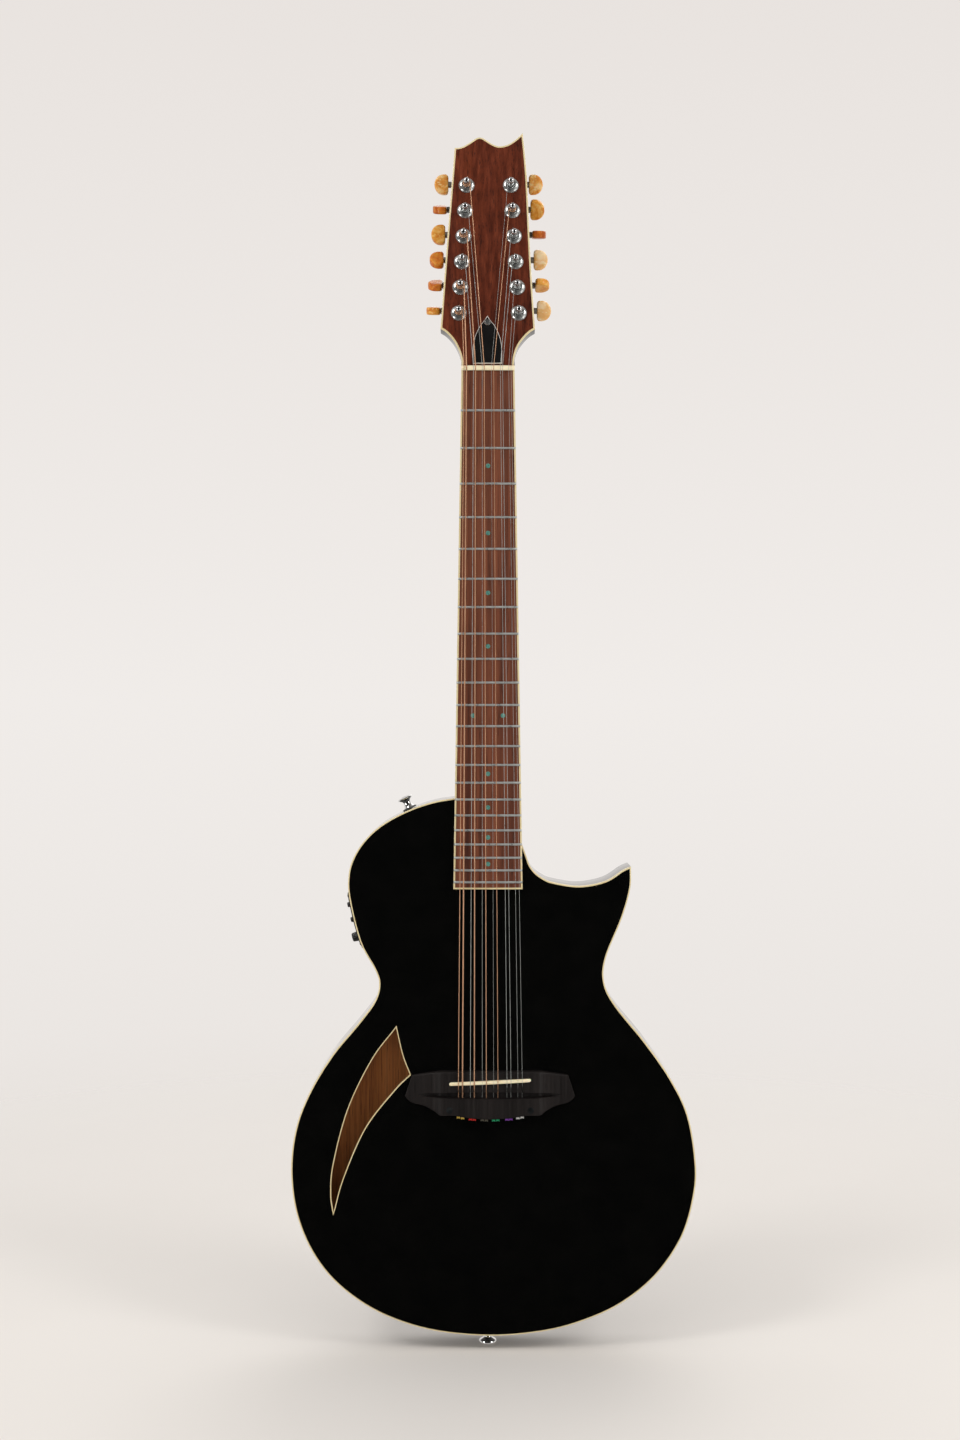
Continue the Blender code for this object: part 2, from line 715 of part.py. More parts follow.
def preamp_cutout():
    half = PREAMP_BOX_WIDTH / 2 + GAP
    return plate("preamp_cutout", [preamp_box_loop(GAP, PANEL_THICKNESS + PAST)], half, -half)


def bore(name, radius, depth, frame):
    """A cutter for a blind hole, a little deeper than what it holds, about the frame's Z axis."""
    high, low = 2 * PAST, -depth - BORE_END
    return turned(name, [(0, high), (radius, high), (radius, low), (0, low)], frame, 12)


def knob_frame(height):
    """A frame on the outer face of the panel, for a knob at a height from the panel's middle."""
    point, outward = side_at(panel_middle() + height, -1)
    return facing(point + outward * (GAP + PANEL_THICKNESS), outward)


def preamp_housing():
    half_panel = PANEL_WIDTH / 2
    half_box = PREAMP_BOX_WIDTH / 2
    half_root = half_box - PREAMP_ROOT_INSET
    panel_loop = side_strip(panel_stretch(), GAP, GAP + PANEL_THICKNESS)
    root_loop = preamp_box_loop(-PREAMP_ROOT_INSET, GAP + PANEL_THICKNESS / 2)
    housing = plate("preamp_housing", [panel_loop], half_panel, -half_panel)
    join(housing, plate("preamp_box", [preamp_box_loop(0, -PREAMP_BOX_BACK)], half_box, -half_box),
         plate("preamp_root", [root_loop], half_root, -half_root))
    radius = KNOB_SHAFT_RADIUS + GAP
    for name, height, _, _ in KNOBS:
        cut(housing, bore(name + "_bore", radius, KNOB_SHAFT_LENGTH, knob_frame(height)))
    return finish(housing, "black_plastic")


def knobs():
    for name, height, radius, rise in KNOBS:
        profile = [
            (0, GAP + rise), (radius * 0.85, GAP + rise), (radius, GAP + rise * 0.85), (radius, GAP),
            (KNOB_SHAFT_RADIUS, GAP), (KNOB_SHAFT_RADIUS, -KNOB_SHAFT_LENGTH), (0, -KNOB_SHAFT_LENGTH),
        ]
        finish(turned(name, profile, knob_frame(height), 16), "black_plastic")


def end_frame():
    return facing(Vector((0, BODY_END_Z)), Vector((0, -1)))


def upper_button_frame():
    return facing(*shoulder_at(UPPER_BUTTON_X))


def strap_button(name, frame, height, radius):
    """A waisted button with its screw, standing on the outside of the rim."""
    waist = radius * 0.55
    foot = radius * 0.7
    under = height - FLANGE_THICKNESS
    profile = [
        (0, height), (radius * 0.8, height), (radius, height - FLANGE_ROUND), (radius, under),
        (waist, under * 0.85), (waist, height * 0.25), (foot, GAP + height * 0.05), (foot, GAP),
        (SHANK_RADIUS, GAP), (SHANK_RADIUS, -SHANK_LENGTH), (0, -SHANK_LENGTH),
    ]
    return finish(turned(name, profile, frame, 12), "chrome")


def button_bores():
    radius = SHANK_RADIUS + GAP
    return (bore("upper_button_bore", radius, SHANK_LENGTH, upper_button_frame()),
            bore("end_button_bore", radius, SHANK_LENGTH, end_frame()))


def jack_frame():
    """The treble side at its widest point, where the side faces straight along X."""
    widest = max(OUTLINE)
    return facing(Vector(widest), Vector((1, 0)))


def jack_bore():
    return bore("jack_bore", JACK_BARREL_RADIUS + GAP, JACK_BORE_DEPTH, jack_frame())


def output_jack():
    profile = [
        (JACK_BORE_RADIUS, GAP + JACK_LIP), (JACK_RADIUS, GAP + JACK_LIP), (JACK_RADIUS, GAP),
        (JACK_BARREL_RADIUS, GAP), (JACK_BARREL_RADIUS, -JACK_BARREL_LENGTH),
        (JACK_BORE_RADIUS, -JACK_BARREL_LENGTH),
    ]
    return finish(turned("output_jack", profile, jack_frame(), 20, closed=True), "chrome")


# Neck and headstock

def neck_section(height, half_width, rear, power):
    """A flat-topped section of the neck: a rounded back of depth to w = rear."""
    points = []
    steps = 10
    for i in range(steps + 1):
        angle = math.pi * i / steps
        across = math.copysign(abs(math.cos(angle)) ** (2 / power), math.cos(angle))
        points.append((half_width * across, height, FRONT - (FRONT - rear) * math.sin(angle) ** (2 / power)))
    return points


def neck():
    heel_rear = FRONT - HEEL_DEPTH
    shaft_rear = FRONT - NECK_DEPTH_AT_HEEL
    nut_rear = FRONT - NECK_DEPTH_AT_NUT
    head_rear = HEAD_W - HEAD_THICKNESS
    foot = BODY_TOP_Z + GAP
    shaft_end = NUT_Z - SHAFT_END_BELOW_NUT
    sections = []
    for share, depth, roundness in HEEL_SECTIONS:
        height = foot + HEEL_LENGTH * share
        rear = shaft_rear + (heel_rear - shaft_rear) * depth
        sections.append(neck_section(height, board_half_width(height), rear, roundness))
    sections.append(neck_section(shaft_end, board_half_width(shaft_end), nut_rear, SHAFT_ROUNDNESS))
    sections.append(neck_section(NUT_Z, NUT_WIDTH / 2, nut_rear, SHAFT_ROUNDNESS))
    sections.append(neck_section(HEAD_Z - GAP, NUT_WIDTH / 2, head_rear - LAP, 2.6))
    root = neck_section(HEAD_Z + HEAD_ROOT_LENGTH, NUT_WIDTH / 2 - 2 * LAP, head_rear + 2 * LAP, 3)
    sections.append([(x, v, w - LAP) for x, v, w in root])
    body = loft("neck", sections)
    core = plate("headstock_core", [HEAD_OUTLINE], -FACEPLATE_THICKNESS - GAP, -HEAD_THICKNESS, HEAD_FRAME)
    join(body, core, tenon_box("tenon", 0))
    channel = ROD_CHANNEL_WIDTH / 2
    rod_floor = FRONT - ROD_DEPTH - ROD_RADIUS - 2 * GAP
    cut(body,
        box("rod_channel", (-channel, BODY_TOP_Z + ROD_START - PAST, rod_floor),
            (channel, HEAD_Z + ROD_POCKET[1] + PAST, FRONT + 3 * PAST)),
        rod_pocket("core_pocket", -ROD_POCKET[3]),
        post_bores("core_bores", -HEAD_THICKNESS - PAST, PAST))
    return finish(body, "gloss_black")


def rod_pocket(name, floor):
    """The pocket for the truss rod's nut, from the headstock's face down to a floor."""
    half, start, end, _ = ROD_POCKET
    return box(name, (-half, start, floor), (half, end, PAST), HEAD_FRAME)


def post_place(index, side):
    """Plan place (x, v) of a post on the headstock face; side is -1 for bass and 1 for treble."""
    share = index / (TUNERS_PER_SIDE - 1)
    spread = POST_HALF_SPREAD_LOW + (POST_HALF_SPREAD_HIGH - POST_HALF_SPREAD_LOW) * share
    return POST_CENTRE_X + side * spread, FIRST_POST + index * POST_SPACING


POSTS = [(side, index, *post_place(index, side)) for side in (-1, 1) for index in range(TUNERS_PER_SIDE)]


def post_bores(name, low, high):
    """Cutters for the twelve post holes, between two depths."""
    ends = [((x, v, low), (x, v, high)) for _, _, x, v in POSTS]
    return rods(name, ends, POST_RADIUS + 2 * GAP, 8, HEAD_FRAME)


def headstock_faceplate():
    """The rosewood face, its binding and the twelve bushings that stand on it, as one solid."""
    face = plate("headstock_faceplate", [HEAD_OUTLINE], 0, -FACEPLATE_THICKNESS, HEAD_FRAME)
    profile = [
        (0, BUSHING_HEIGHT), (BUSHING_RADIUS * 0.6, BUSHING_HEIGHT), (BUSHING_RADIUS, BUSHING_HEIGHT * 0.3),
        (BUSHING_RADIUS, -FACEPLATE_THICKNESS / 2), (0, -FACEPLATE_THICKNESS / 2),
    ]
    for _, _, x, v in POSTS:
        join(face, turned("bushing", profile, HEAD_FRAME @ Matrix.Translation((x, v, 0)), 8))
    cut(face, post_bores("face_bores", -FACEPLATE_THICKNESS - PAST, BUSHING_HEIGHT + PAST),
        rod_pocket("face_pocket", -FACEPLATE_THICKNESS - PAST))
    return finish(face, "rosewood")


def truss_rod():
    """The rod in its channel, with its adjusting nut in the pocket under the cover."""
    depth = FRONT - ROD_DEPTH
    rod_ends = [(0, -depth, BODY_TOP_Z + ROD_START), (0, -depth, HEAD_Z + ROD_END)]
    nut_ends = [(0, -depth, HEAD_Z + height) for height in ROD_NUT]
    rod = rods("truss_rod", [rod_ends], ROD_RADIUS, 12)
    return finish(join(rod, rods("rod_nut", [nut_ends], ROD_NUT_RADIUS, 6)), "steel")


def truss_rod_cover():
    half = smooth([(x * COVER_HALF_WIDTH, COVER_START + v * COVER_LENGTH) for x, v in COVER_SHAPE], 2)
    loop = [(COVER_CENTRE_X + x, v) for x, v in half]
    loop += [(COVER_CENTRE_X - x, v) for x, v in reversed(half[1:])]
    return finish(plate("truss_rod_cover", [loop], GAP + COVER_THICKNESS, GAP, HEAD_FRAME), "black_plastic")


# Fingerboard and nut

def board_loop(inset):
    """The fingerboard's outline, inset by a width at its sides and end."""
    top = NUT_Z - GAP
    end = BOARD_END_Z + inset
    high = board_half_width(top) - inset
    low = board_half_width(BOARD_END_Z) - inset
    return [(-high, top), (-low, end), (low, end), (high, top)]


def fret_heights():
    """The height of every fret that lies on the board, from the nut down."""
    heights = [NUT_Z - SCALE_LENGTH * (1 - 2 ** (-n / 12)) for n in range(1, FRET_COUNT + 1)]
    return [height for height in heights if height > BOARD_END_Z + BOARD_BINDING_WIDTH + FRET_WIDTH]


def fingerboard():
    inset = BOARD_BINDING_WIDTH + GAP
    board = plate("fingerboard", [board_loop(inset)], BOARD_BASE, BOARD_FACE)
    corners = []
    for height in fret_heights():
        half = board_half_width(height) - inset - GAP
        corners.append(((-half, height - FRET_WIDTH / 2, BOARD_FACE - LAP),
                        (half, height + FRET_WIDTH / 2, BOARD_FACE + FRET_HEIGHT)))
    return finish(join(board, boxes("frets", corners)), "fingerboard_wood")


def fingerboard_binding():
    loop = board_loop(0) + board_loop(BOARD_BINDING_WIDTH)[::-1]
    return finish(plate("fingerboard_binding", [loop], BOARD_BASE, BOARD_FACE), "cream")


def rounded(item, width):
    """The solid with its edges cut back by a width."""
    bevel = item.modifiers.new("rounded", "BEVEL")
    bevel.width = width
    bevel.segments = 1
    return item


def nut():
    half = NUT_WIDTH / 2
    made = box("nut", (-half, NUT_Z, BOARD_BASE), (half, NUT_Z + NUT_THICKNESS, NUT_FACE))
    return finish(rounded(made, NUT_THICKNESS / 8), "bone")


# Bridge and saddle

def bridge_loop():
    low = SADDLE_Z - BRIDGE_TO_SADDLE
    half = [(x * MM, low + v * MM) for x, v in BRIDGE_HALF_MM]
    right = [(BRIDGE_CENTRE_X + x, v) for x, v in half]
    left = [(BRIDGE_CENTRE_X - x, v) for x, v in reversed(half[1:])]
    return right + left


def bridge_rear(x):
    """Height of the bridge's rear edge at an x."""
    points = [(px * MM, v * MM) for px, v in BRIDGE_HALF_MM]
    across = abs(x - BRIDGE_CENTRE_X)
    for a, b in zip(points, points[1:]):
        if a[0] <= across <= b[0]:
            share = (across - a[0]) / (b[0] - a[0])
            return SADDLE_Z - BRIDGE_TO_SADDLE + a[1] + share * (b[1] - a[1])
    raise ValueError("the bridge doesn't reach this x")


def saddle_z(x):
    """Height of the slanted saddle's middle line at an x."""
    return SADDLE_Z + math.tan(SADDLE_SLANT) * (x - BRIDGE_CENTRE_X)


def slanted_strip(name, length, width, low, high):
    """A box along the saddle's line between two depths w."""
    place = Matrix.Translation((BRIDGE_CENTRE_X, SADDLE_Z, 0)) @ Matrix.Rotation(SADDLE_SLANT, 4, "Z")
    return box(name, (-length / 2, -width / 2, low), (length / 2, width / 2, high), BODY_FRAME @ place)


def bridge():
    loop = bridge_loop()
    top = BOARD_BASE + BRIDGE_THICKNESS
    body = plate("bridge", [loop], BOARD_BASE, BOARD_BASE + BRIDGE_WING_THICKNESS)
    block = [p for p in loop if abs(p[0] - BRIDGE_CENTRE_X) < BRIDGE_BLOCK_HALF + GAP]
    join(body, plate("bridge_block", [offset(block, GAP)], BOARD_BASE + LAP, top))
    groove_z = SADDLE_Z - GROOVE_TO_SADDLE
    steps = 20
    groove = [(BRIDGE_CENTRE_X + GROOVE_HALF_LENGTH * math.cos(2 * math.pi * i / steps),
               groove_z + GROOVE_HALF_WIDTH * math.sin(2 * math.pi * i / steps)) for i in range(steps)]
    hole_w = BOARD_BASE + STRING_HOLE_HEIGHT
    holes, ramps = [], []
    for string in STRINGS_MM:
        diameter, _, x = (size * MM for size in string)
        holes.append(((x, groove_z, hole_w), (x, bridge_rear(x) - PAST, hole_w)))
        ramps.append(((x, groove_z, hole_w), (x, saddle_z(x), SADDLE_FACE + GAP + diameter / 2)))
    slot = slanted_strip("saddle_slot", SADDLE_LENGTH + 2 * GAP, SADDLE_THICKNESS + 2 * GAP,
                         BOARD_BASE + SLOT_FLOOR, top + PAST)
    cut(body, plate("groove", [groove], BOARD_BASE + GROOVE_FLOOR, top + PAST), slot,
        rods("string_ramps", ramps, STRING_HOLE_RADIUS, 5, BODY_FRAME),
        rods("string_holes", holes, STRING_HOLE_RADIUS, 6, BODY_FRAME))
    return finish(body, "bridge_wood")


def saddle():
    base = BOARD_BASE + SLOT_FLOOR + PICKUP_THICKNESS + 2 * GAP
    made = slanted_strip("saddle", SADDLE_LENGTH, SADDLE_THICKNESS, base, SADDLE_FACE)
    return finish(rounded(made, SADDLE_THICKNESS / 4), "bone")


def piezo_pickup():
    """The pickup strip in the floor of the saddle's slot."""
    base = BOARD_BASE + SLOT_FLOOR + GAP
    made = slanted_strip("piezo_pickup", SADDLE_LENGTH - 2 * PICKUP_INSET, SADDLE_THICKNESS - 2 * GAP, base,
                         base + PICKUP_THICKNESS)
    return finish(made, "dark_metal")


# Strings

def string_tuner(number):
    """The side and index of the post that a string runs to: outermost strings to the lowest posts."""
    if number < TUNERS_PER_SIDE:
        return -1, number
    return 1, 2 * TUNERS_PER_SIDE - 1 - number


def winding(number, radius, start):
    """Points in plan coordinates of the head: from the post's inner side round it, down towards the face."""
    side, index = string_tuner(number)
    x, v = post_place(index, side)
    reach = POST_RADIUS + GAP + radius
    lean = math.atan2(side * (x - side * reach - start[0]), v - start[1])
    pitch = 2 * radius + TURN_GAP
    points = []
    for i in range(STRING_TURNS * TURN_POINTS + 1):
        angle = 2 * math.pi * i / TURN_POINTS - lean
        points.append(Vector((x - side * reach * math.cos(angle), v + reach * math.sin(angle),
                              WINDING_START - pitch * i / TURN_POINTS)))
    return points


def string_points(number):
    """World points and tube radii of a string, from its ball end to its last turn."""
    diameter, nut_x, saddle_x = (size * MM for size in STRINGS_MM[number])
    radius = diameter / 2
    hole_w = BOARD_BASE + STRING_HOLE_HEIGHT
    ball_end = bridge_rear(saddle_x) - GAP
    over_saddle = SADDLE_FACE + GAP + radius
    over_nut = NUT_FACE + GAP + radius
    crown = SADDLE_THICKNESS / 3
    plan = [
        (saddle_x, ball_end - BALL_LENGTH, hole_w), (saddle_x, ball_end, hole_w),
        (saddle_x, ball_end + GAP / 3, hole_w), (saddle_x, SADDLE_Z - GROOVE_TO_SADDLE, hole_w),
        (saddle_x, saddle_z(saddle_x) - crown, over_saddle),
        (saddle_x, saddle_z(saddle_x) + crown, over_saddle),
        (nut_x, NUT_Z, over_nut), (nut_x, NUT_Z + NUT_THICKNESS, over_nut),
    ]
    radii = [BALL_RADIUS, BALL_RADIUS] + [radius] * (len(plan) - 2)
    world = [BODY_FRAME @ Vector(point) for point in plan]
    leave = HEAD_FRAME.inverted() @ world[-1]
    turns = winding(number, radius, leave)
    world += [HEAD_FRAME @ point for point in turns]
    return world, radii + [radius] * len(turns), radius, turns


def least_gap(turns, radius):
    """Least distance between two turns of a winding, surface to surface, measured between its points."""
    apart = TURN_POINTS // 2 + 1
    least = min((a - b).length for i, a in enumerate(turns) for b in turns[i + apart:])
    return least - 2 * radius


def strings():
    gaps = []
    for number in range(len(STRINGS_MM)):
        points, radii, radius, turns = string_points(number)
        item = tube(f"string_{number + 1:02d}", points, radii)
        finish(item, "bronze" if number in WOUND_STRINGS else "steel")
        gaps.append(least_gap(turns, radius))
    print(f"least gap between the turns of a string: {min(gaps) / MM:.2f} mm")


# Tuners

def gear_loop():
    """A toothed wheel's outline."""
    points = []
    for i in range(WHEEL_TEETH * 2):
        radius = WHEEL_RADIUS if i % 2 == 0 else WHEEL_RADIUS - TOOTH_DEPTH
        angle = math.pi * i / WHEEL_TEETH
        points.append((radius * math.cos(angle), radius * math.sin(angle)))
    return points


def post_mesh():
    """A string post with its worm wheel, on its own axis: z = 0 is the headstock face."""
    profile = [
        (0, POST_HEIGHT), (POST_RADIUS * 0.8, POST_HEIGHT), (POST_RADIUS, POST_HEIGHT - 0.8 * MM),
        (POST_RADIUS, -GEAR_DEPTH - WHEEL_THICKNESS), (0, -GEAR_DEPTH - WHEEL_THICKNESS),
    ]
    post = turned("post_shape", profile, None, 8)
    high, low = -GEAR_DEPTH + WHEEL_THICKNESS / 2, -GEAR_DEPTH - WHEEL_THICKNESS / 2
    join(post, plate("wheel_shape", [gear_loop()], high, low, Matrix.Identity(4)))
    return as_mesh(post)


def button_outline():
    """The kidney-shaped button's outline, along the key and across it."""
    points = []
    steps = 12
    for i in range(steps):
        angle = 2 * math.pi * (i + 0.5) / steps
        along = math.copysign(abs(math.cos(angle)) ** 0.8, math.cos(angle))
        across = math.copysign(abs(math.sin(angle)) ** 0.85, math.sin(angle))
        points.append((KEY_REACH + (1 + along) * BUTTON_LENGTH / 2, across * BUTTON_HEIGHT / 2))
    return points


def button_mesh():
    """The button as a plate in the XY plane, bevelled round both faces."""
    half = BUTTON_THICKNESS / 2
    button = plate("button_shape", [button_outline()], half, -half, Matrix.Identity(4))
    work = bmesh.new()
    work.from_mesh(button.data)
    rims = []
    for edge in work.edges:
        heights = {round(vert.co.z / MM, 3) for vert in edge.verts}
        facings = {round(face.normal.z, 2) for face in edge.link_faces}
        if len(heights) == 1 and len(facings) > 1:
            rims.append(edge)
    bmesh.ops.bevel(work, geom=rims, offset=BUTTON_BEVEL, segments=1, affect="EDGES")
    work.to_mesh(button.data)
    work.free()
    return button


def key_mesh():
    """A tuner key on its own axis, +X outward: worm, shaft, collar and button."""
    along_x = Matrix.Rotation(math.radians(90), 4, "Y")
    half = WORM_LENGTH / 2
    pitch = WORM_LENGTH / WORM_THREADS
    root = WORM_RADIUS - TOOTH_DEPTH
    profile = [
        (0, KEY_REACH + KEY_COLLAR_LENGTH), (KEY_COLLAR_RADIUS * 0.8, KEY_REACH + KEY_COLLAR_LENGTH),
        (KEY_COLLAR_RADIUS, KEY_REACH - KEY_COLLAR_LENGTH + GAP),
        (KEY_SHAFT_RADIUS, KEY_REACH - KEY_COLLAR_LENGTH), (KEY_SHAFT_RADIUS, half),
    ]
    for i in range(WORM_THREADS):
        middle = half - pitch * (i + 0.5)
        profile += [(root, middle + pitch * 0.4), (WORM_RADIUS, middle), (root, middle - pitch * 0.4)]
    profile.append((0, -half))
    key = turned("key_shape", profile, along_x, 7)
    made = as_mesh(join(key, button_mesh()))
    made.data.transform(along_x)
    return made


def tuners():
    post_shape = post_mesh()
    key_shape = key_mesh()
    for side, index, x, v in POSTS:
        label = f"{'bass' if side < 0 else 'treble'}_{index + 1}"
        post = new_object(f"string_post_{label}", post_shape.data, HEAD_FRAME @ Matrix.Translation((x, v, 0)))
        finish(post, "chrome")
        angles = BASS_KEY_ANGLES if side < 0 else TREBLE_KEY_ANGLES
        outward = Matrix.Rotation(math.pi if side < 0 else 0, 4, "Z")
        turn = Matrix.Rotation(math.radians(90 - angles[index]), 4, "X")
        place = HEAD_FRAME @ Matrix.Translation((x, v + KEY_OFFSET, -GEAR_DEPTH)) @ outward @ turn
        finish(new_object(f"tuner_key_{label}", key_shape.data, place), "amber")
    for shape in (post_shape, key_shape):
        bpy.data.objects.remove(shape, do_unlink=True)


def tuner_plate(name, side):
    """One strip with six gear housings, open towards the rear of the headstock."""
    places = [(x, v) for s, _, x, v in POSTS if s == side]
    pocket = WHEEL_RADIUS + POCKET_CLEARANCE
    reach_up = KEY_OFFSET + WORM_RADIUS + POCKET_CLEARANCE
    shell = pocket + HOUSING_WALL
    margin = shell + PLATE_MARGIN
    front = -HEAD_THICKNESS - GAP
    floor = -GEAR_DEPTH - WHEEL_THICKNESS - GAP
    (x0, v0), (x1, v1) = places[0], places[-1]
    high = v1 + reach_up + PLATE_END
    loop = [(x0 - margin, v0 - margin), (x0 + margin, v0 - margin), (x1 + margin, high), (x1 - margin, high)]
    strip = plate(name, [loop], front, front - PLATE_THICKNESS, HEAD_FRAME)
    shells, pockets, bores = [], [], []
    for x, v in places:
        shells.append(((x - shell, v - shell, floor - HOUSING_WALL),
                       (x + shell, v + reach_up + HOUSING_WALL, front - PLATE_THICKNESS / 2)))
        pockets.append(((x - pocket, v - pocket, floor), (x + pocket, v + reach_up, front + LAP)))
        axis_v = v + KEY_OFFSET
        bores.append(((x, axis_v, -GEAR_DEPTH), (x + side * (margin + PAST), axis_v, -GEAR_DEPTH)))
    join(strip, boxes(name + "_shells", shells, HEAD_FRAME))
    cut(strip, boxes(name + "_pockets", pockets, HEAD_FRAME),
        rods(name + "_bores", bores, KEY_SHAFT_RADIUS + GAP, 10, HEAD_FRAME))
    return finish(strip, "chrome")


def gather():
    """Parent every piece to one empty at the origin, so that the guitar moves as a whole."""
    handle = bpy.data.objects.new("twelve_string_guitar", None)
    PARTS.objects.link(handle)
    for piece in list(PARTS.objects):
        if piece is not handle:
            piece.parent = handle


def build():
    body_rim()
    back_plate()
    soundboard()
    body_binding()
    soundhole_binding()
    neck()
    headstock_faceplate()
    truss_rod()
    truss_rod_cover()
    fingerboard()
    fingerboard_binding()
    nut()
    bridge()
    saddle()
    piezo_pickup()
    strings()
    tuners()
    tuner_plate("tuner_plate_bass", -1)
    tuner_plate("tuner_plate_treble", 1)
    preamp_housing()
    knobs()
    strap_button("end_strap_button", end_frame(), END_BUTTON_HEIGHT, END_BUTTON_RADIUS)
    strap_button("upper_strap_button", upper_button_frame(), UPPER_BUTTON_HEIGHT, UPPER_BUTTON_RADIUS)
    output_jack()
    gather()


build()
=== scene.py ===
import json
from math import atan2, copysign, cos, inf, pi, radians, sin, sqrt, tan

import bmesh
import bpy
import numpy as np
from mathutils import Matrix, Vector
from mathutils.geometry import delaunay_2d_cdt, tessellate_polygon

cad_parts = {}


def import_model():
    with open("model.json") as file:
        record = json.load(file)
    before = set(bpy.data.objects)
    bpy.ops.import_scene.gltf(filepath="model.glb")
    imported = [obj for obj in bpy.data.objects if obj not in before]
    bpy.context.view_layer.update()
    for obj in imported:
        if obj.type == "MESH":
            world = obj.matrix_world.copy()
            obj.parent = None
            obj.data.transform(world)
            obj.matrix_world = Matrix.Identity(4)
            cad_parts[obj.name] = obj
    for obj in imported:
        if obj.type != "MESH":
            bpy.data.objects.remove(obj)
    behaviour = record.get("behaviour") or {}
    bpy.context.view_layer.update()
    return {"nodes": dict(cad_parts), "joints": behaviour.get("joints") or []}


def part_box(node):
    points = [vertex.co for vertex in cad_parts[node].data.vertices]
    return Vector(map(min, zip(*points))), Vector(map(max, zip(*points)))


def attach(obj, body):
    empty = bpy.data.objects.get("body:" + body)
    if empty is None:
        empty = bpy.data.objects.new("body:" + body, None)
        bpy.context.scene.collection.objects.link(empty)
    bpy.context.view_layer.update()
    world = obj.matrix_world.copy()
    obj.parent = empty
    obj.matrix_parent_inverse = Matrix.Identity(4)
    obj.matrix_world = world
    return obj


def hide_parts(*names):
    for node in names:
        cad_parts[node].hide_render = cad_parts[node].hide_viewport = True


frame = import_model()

# Looks of a twelve-string guitar. Its sizes are in millimetres, and piece() turns them into metres.
# Plan coordinates are x across, v up and w towards the front. The studio's sizes are in metres.

MM = 0.001


def box(node):
    """The low and the high corner of a CAD node."""
    return [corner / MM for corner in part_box(node)]


# Planes and levels, from the frame
FRONT = -box("body_binding")[0].y
REAR = -box("back_plate")[1].y
TOP_UNDERSIDE = -box("soundhole_binding")[1].y
BODY_LOW = box("body_binding")[0].z
BODY_HIGH = box("body_binding")[1].z
BOARD_BASE = -box("fingerboard_binding")[1].y
BOARD_FACE = -box("fingerboard_binding")[0].y
BOARD_LOW = box("fingerboard_binding")[0].z
BOARD_END_HALF = box("fingerboard_binding")[1].x
NUT_LOW, NUT_HIGH = box("nut")[0].z, box("nut")[1].z
NUT_HALF = box("nut")[1].x
NUT_FACE = -box("nut")[0].y
SADDLE_FACE = -box("saddle")[0].y
SADDLE_BASE = -box("saddle")[1].y
SADDLE_MIDDLE = (box("saddle")[0] + box("saddle")[1]) / 2
CLEARANCE = 0.03

# Fingerboard
CAMBER = 406
SCALE_LENGTH = 645.2
FRETS = 22
FRET_WIDTH = 2
FRET_HEIGHT = 1
FRET_END = 1
BOARD_EDGE = 1.6
DOT_RADIUS = 2.1
DOT_FRETS = (3, 5, 7, 9, 12, 15, 17, 19, 21)
DOUBLE_DOT = 13.6
SIDE_DOT_RADIUS = 0.9
SIDE_DOT_DEPTH = 3.4
SIDE_DOT_SPACING = 6

# Strings: diameter, x at the nut and x at the saddle, from the bass side
STRINGS = (
    (0.686, -21.7, -26.8), (1.194, -19.5, -23.1), (0.457, -13.2, -16.0), (0.991, -11.3, -12.4),
    (0.305, -5.2, -5.2), (0.762, -3.4, -1.5), (0.203, 3.1, 5.1), (0.584, 5.2, 9.0),
    (0.356, 11.2, 17.2), (0.356, 13.2, 20.8), (0.254, 18.8, 27.1), (0.254, 20.9, 31.0),
)
STRING_HOLE_HEIGHT = 3.7
WINDING_START = 3.4
TURN_GAP = 0.5
TURN_POINTS = 28
STRING_TURNS = 2

# Bridge and saddle; the slope is the height of the bridge's top by the distance from its middle
BRIDGE_X = 1.9
BRIDGE_SLOPE = ((44.6, 7.7), (47, 6.7), (50, 5.9), (54, 5.2), (59, 4.6), (66, 3.9), (77.2, 3))
BRIDGE_EDGE = 1.2
BRIDGE_TO_SADDLE = 34
SADDLE_LENGTH = 74.2
SADDLE_THICKNESS = 3.2
SADDLE_SLANT = radians(2.7)
GROOVE_REACH = 65
GROOVE_HALF_WIDTH = 3.2
GROOVE_TO_SADDLE = 12.2
GROOVE_DEPTH = 5
RAMP_ROOM = 0.25
CAP_DOT_ACROSS = 36.8
CAP_DOT_DOWN = 25.6
CAP_DOT_RADIUS = 2.85

# Headstock and tuners
HEAD_TILT = radians(8)
HEAD_W = 28
HEAD_Z = NUT_HIGH + 0.6
HEAD_THICKNESS = 15
VENEER = 1.6
HEAD_BINDING = 1.5
TUNERS_PER_SIDE = 6
FIRST_POST = 49.6
POST_SPACING = 24.53
POST_CENTRE_X = 0.8
POST_SPREAD = (27.35, 20.35)
POST_RADIUS = 2.9
POST_HEIGHT = 13.5
STRING_HOLE_ON_POST = 8.6
KEY_OFFSET = 8.9
GEAR_DEPTH = 18.6
WHEEL_RADIUS = 5.5
WHEEL_THICKNESS = 3.4
KEY_REACH = 17
BUTTON_LENGTH = 13.2
BUTTON_HEIGHT = 18.5
BUTTON_THICKNESS = 7
BUSHING_RADIUS = 7.4
KEY_ANGLES = {-1: (23, 36, 61, 91, 29, 98), 1: (67, 5, 67, -19, 47, 67)}

# Truss-rod cover; its shape is its half width by its height, as shares
COVER_LENGTH = 45
COVER_HALF_WIDTH = 13.2
COVER_X = -0.5
COVER_START = 1.5
COVER_TOP = 1.9
COVER_LINE = 0.5
COVER_SHAPE = ((0, 1), (0.22, 0.9), (0.53, 0.78), (0.88, 0.54), (1, 0.3), (1, 0))

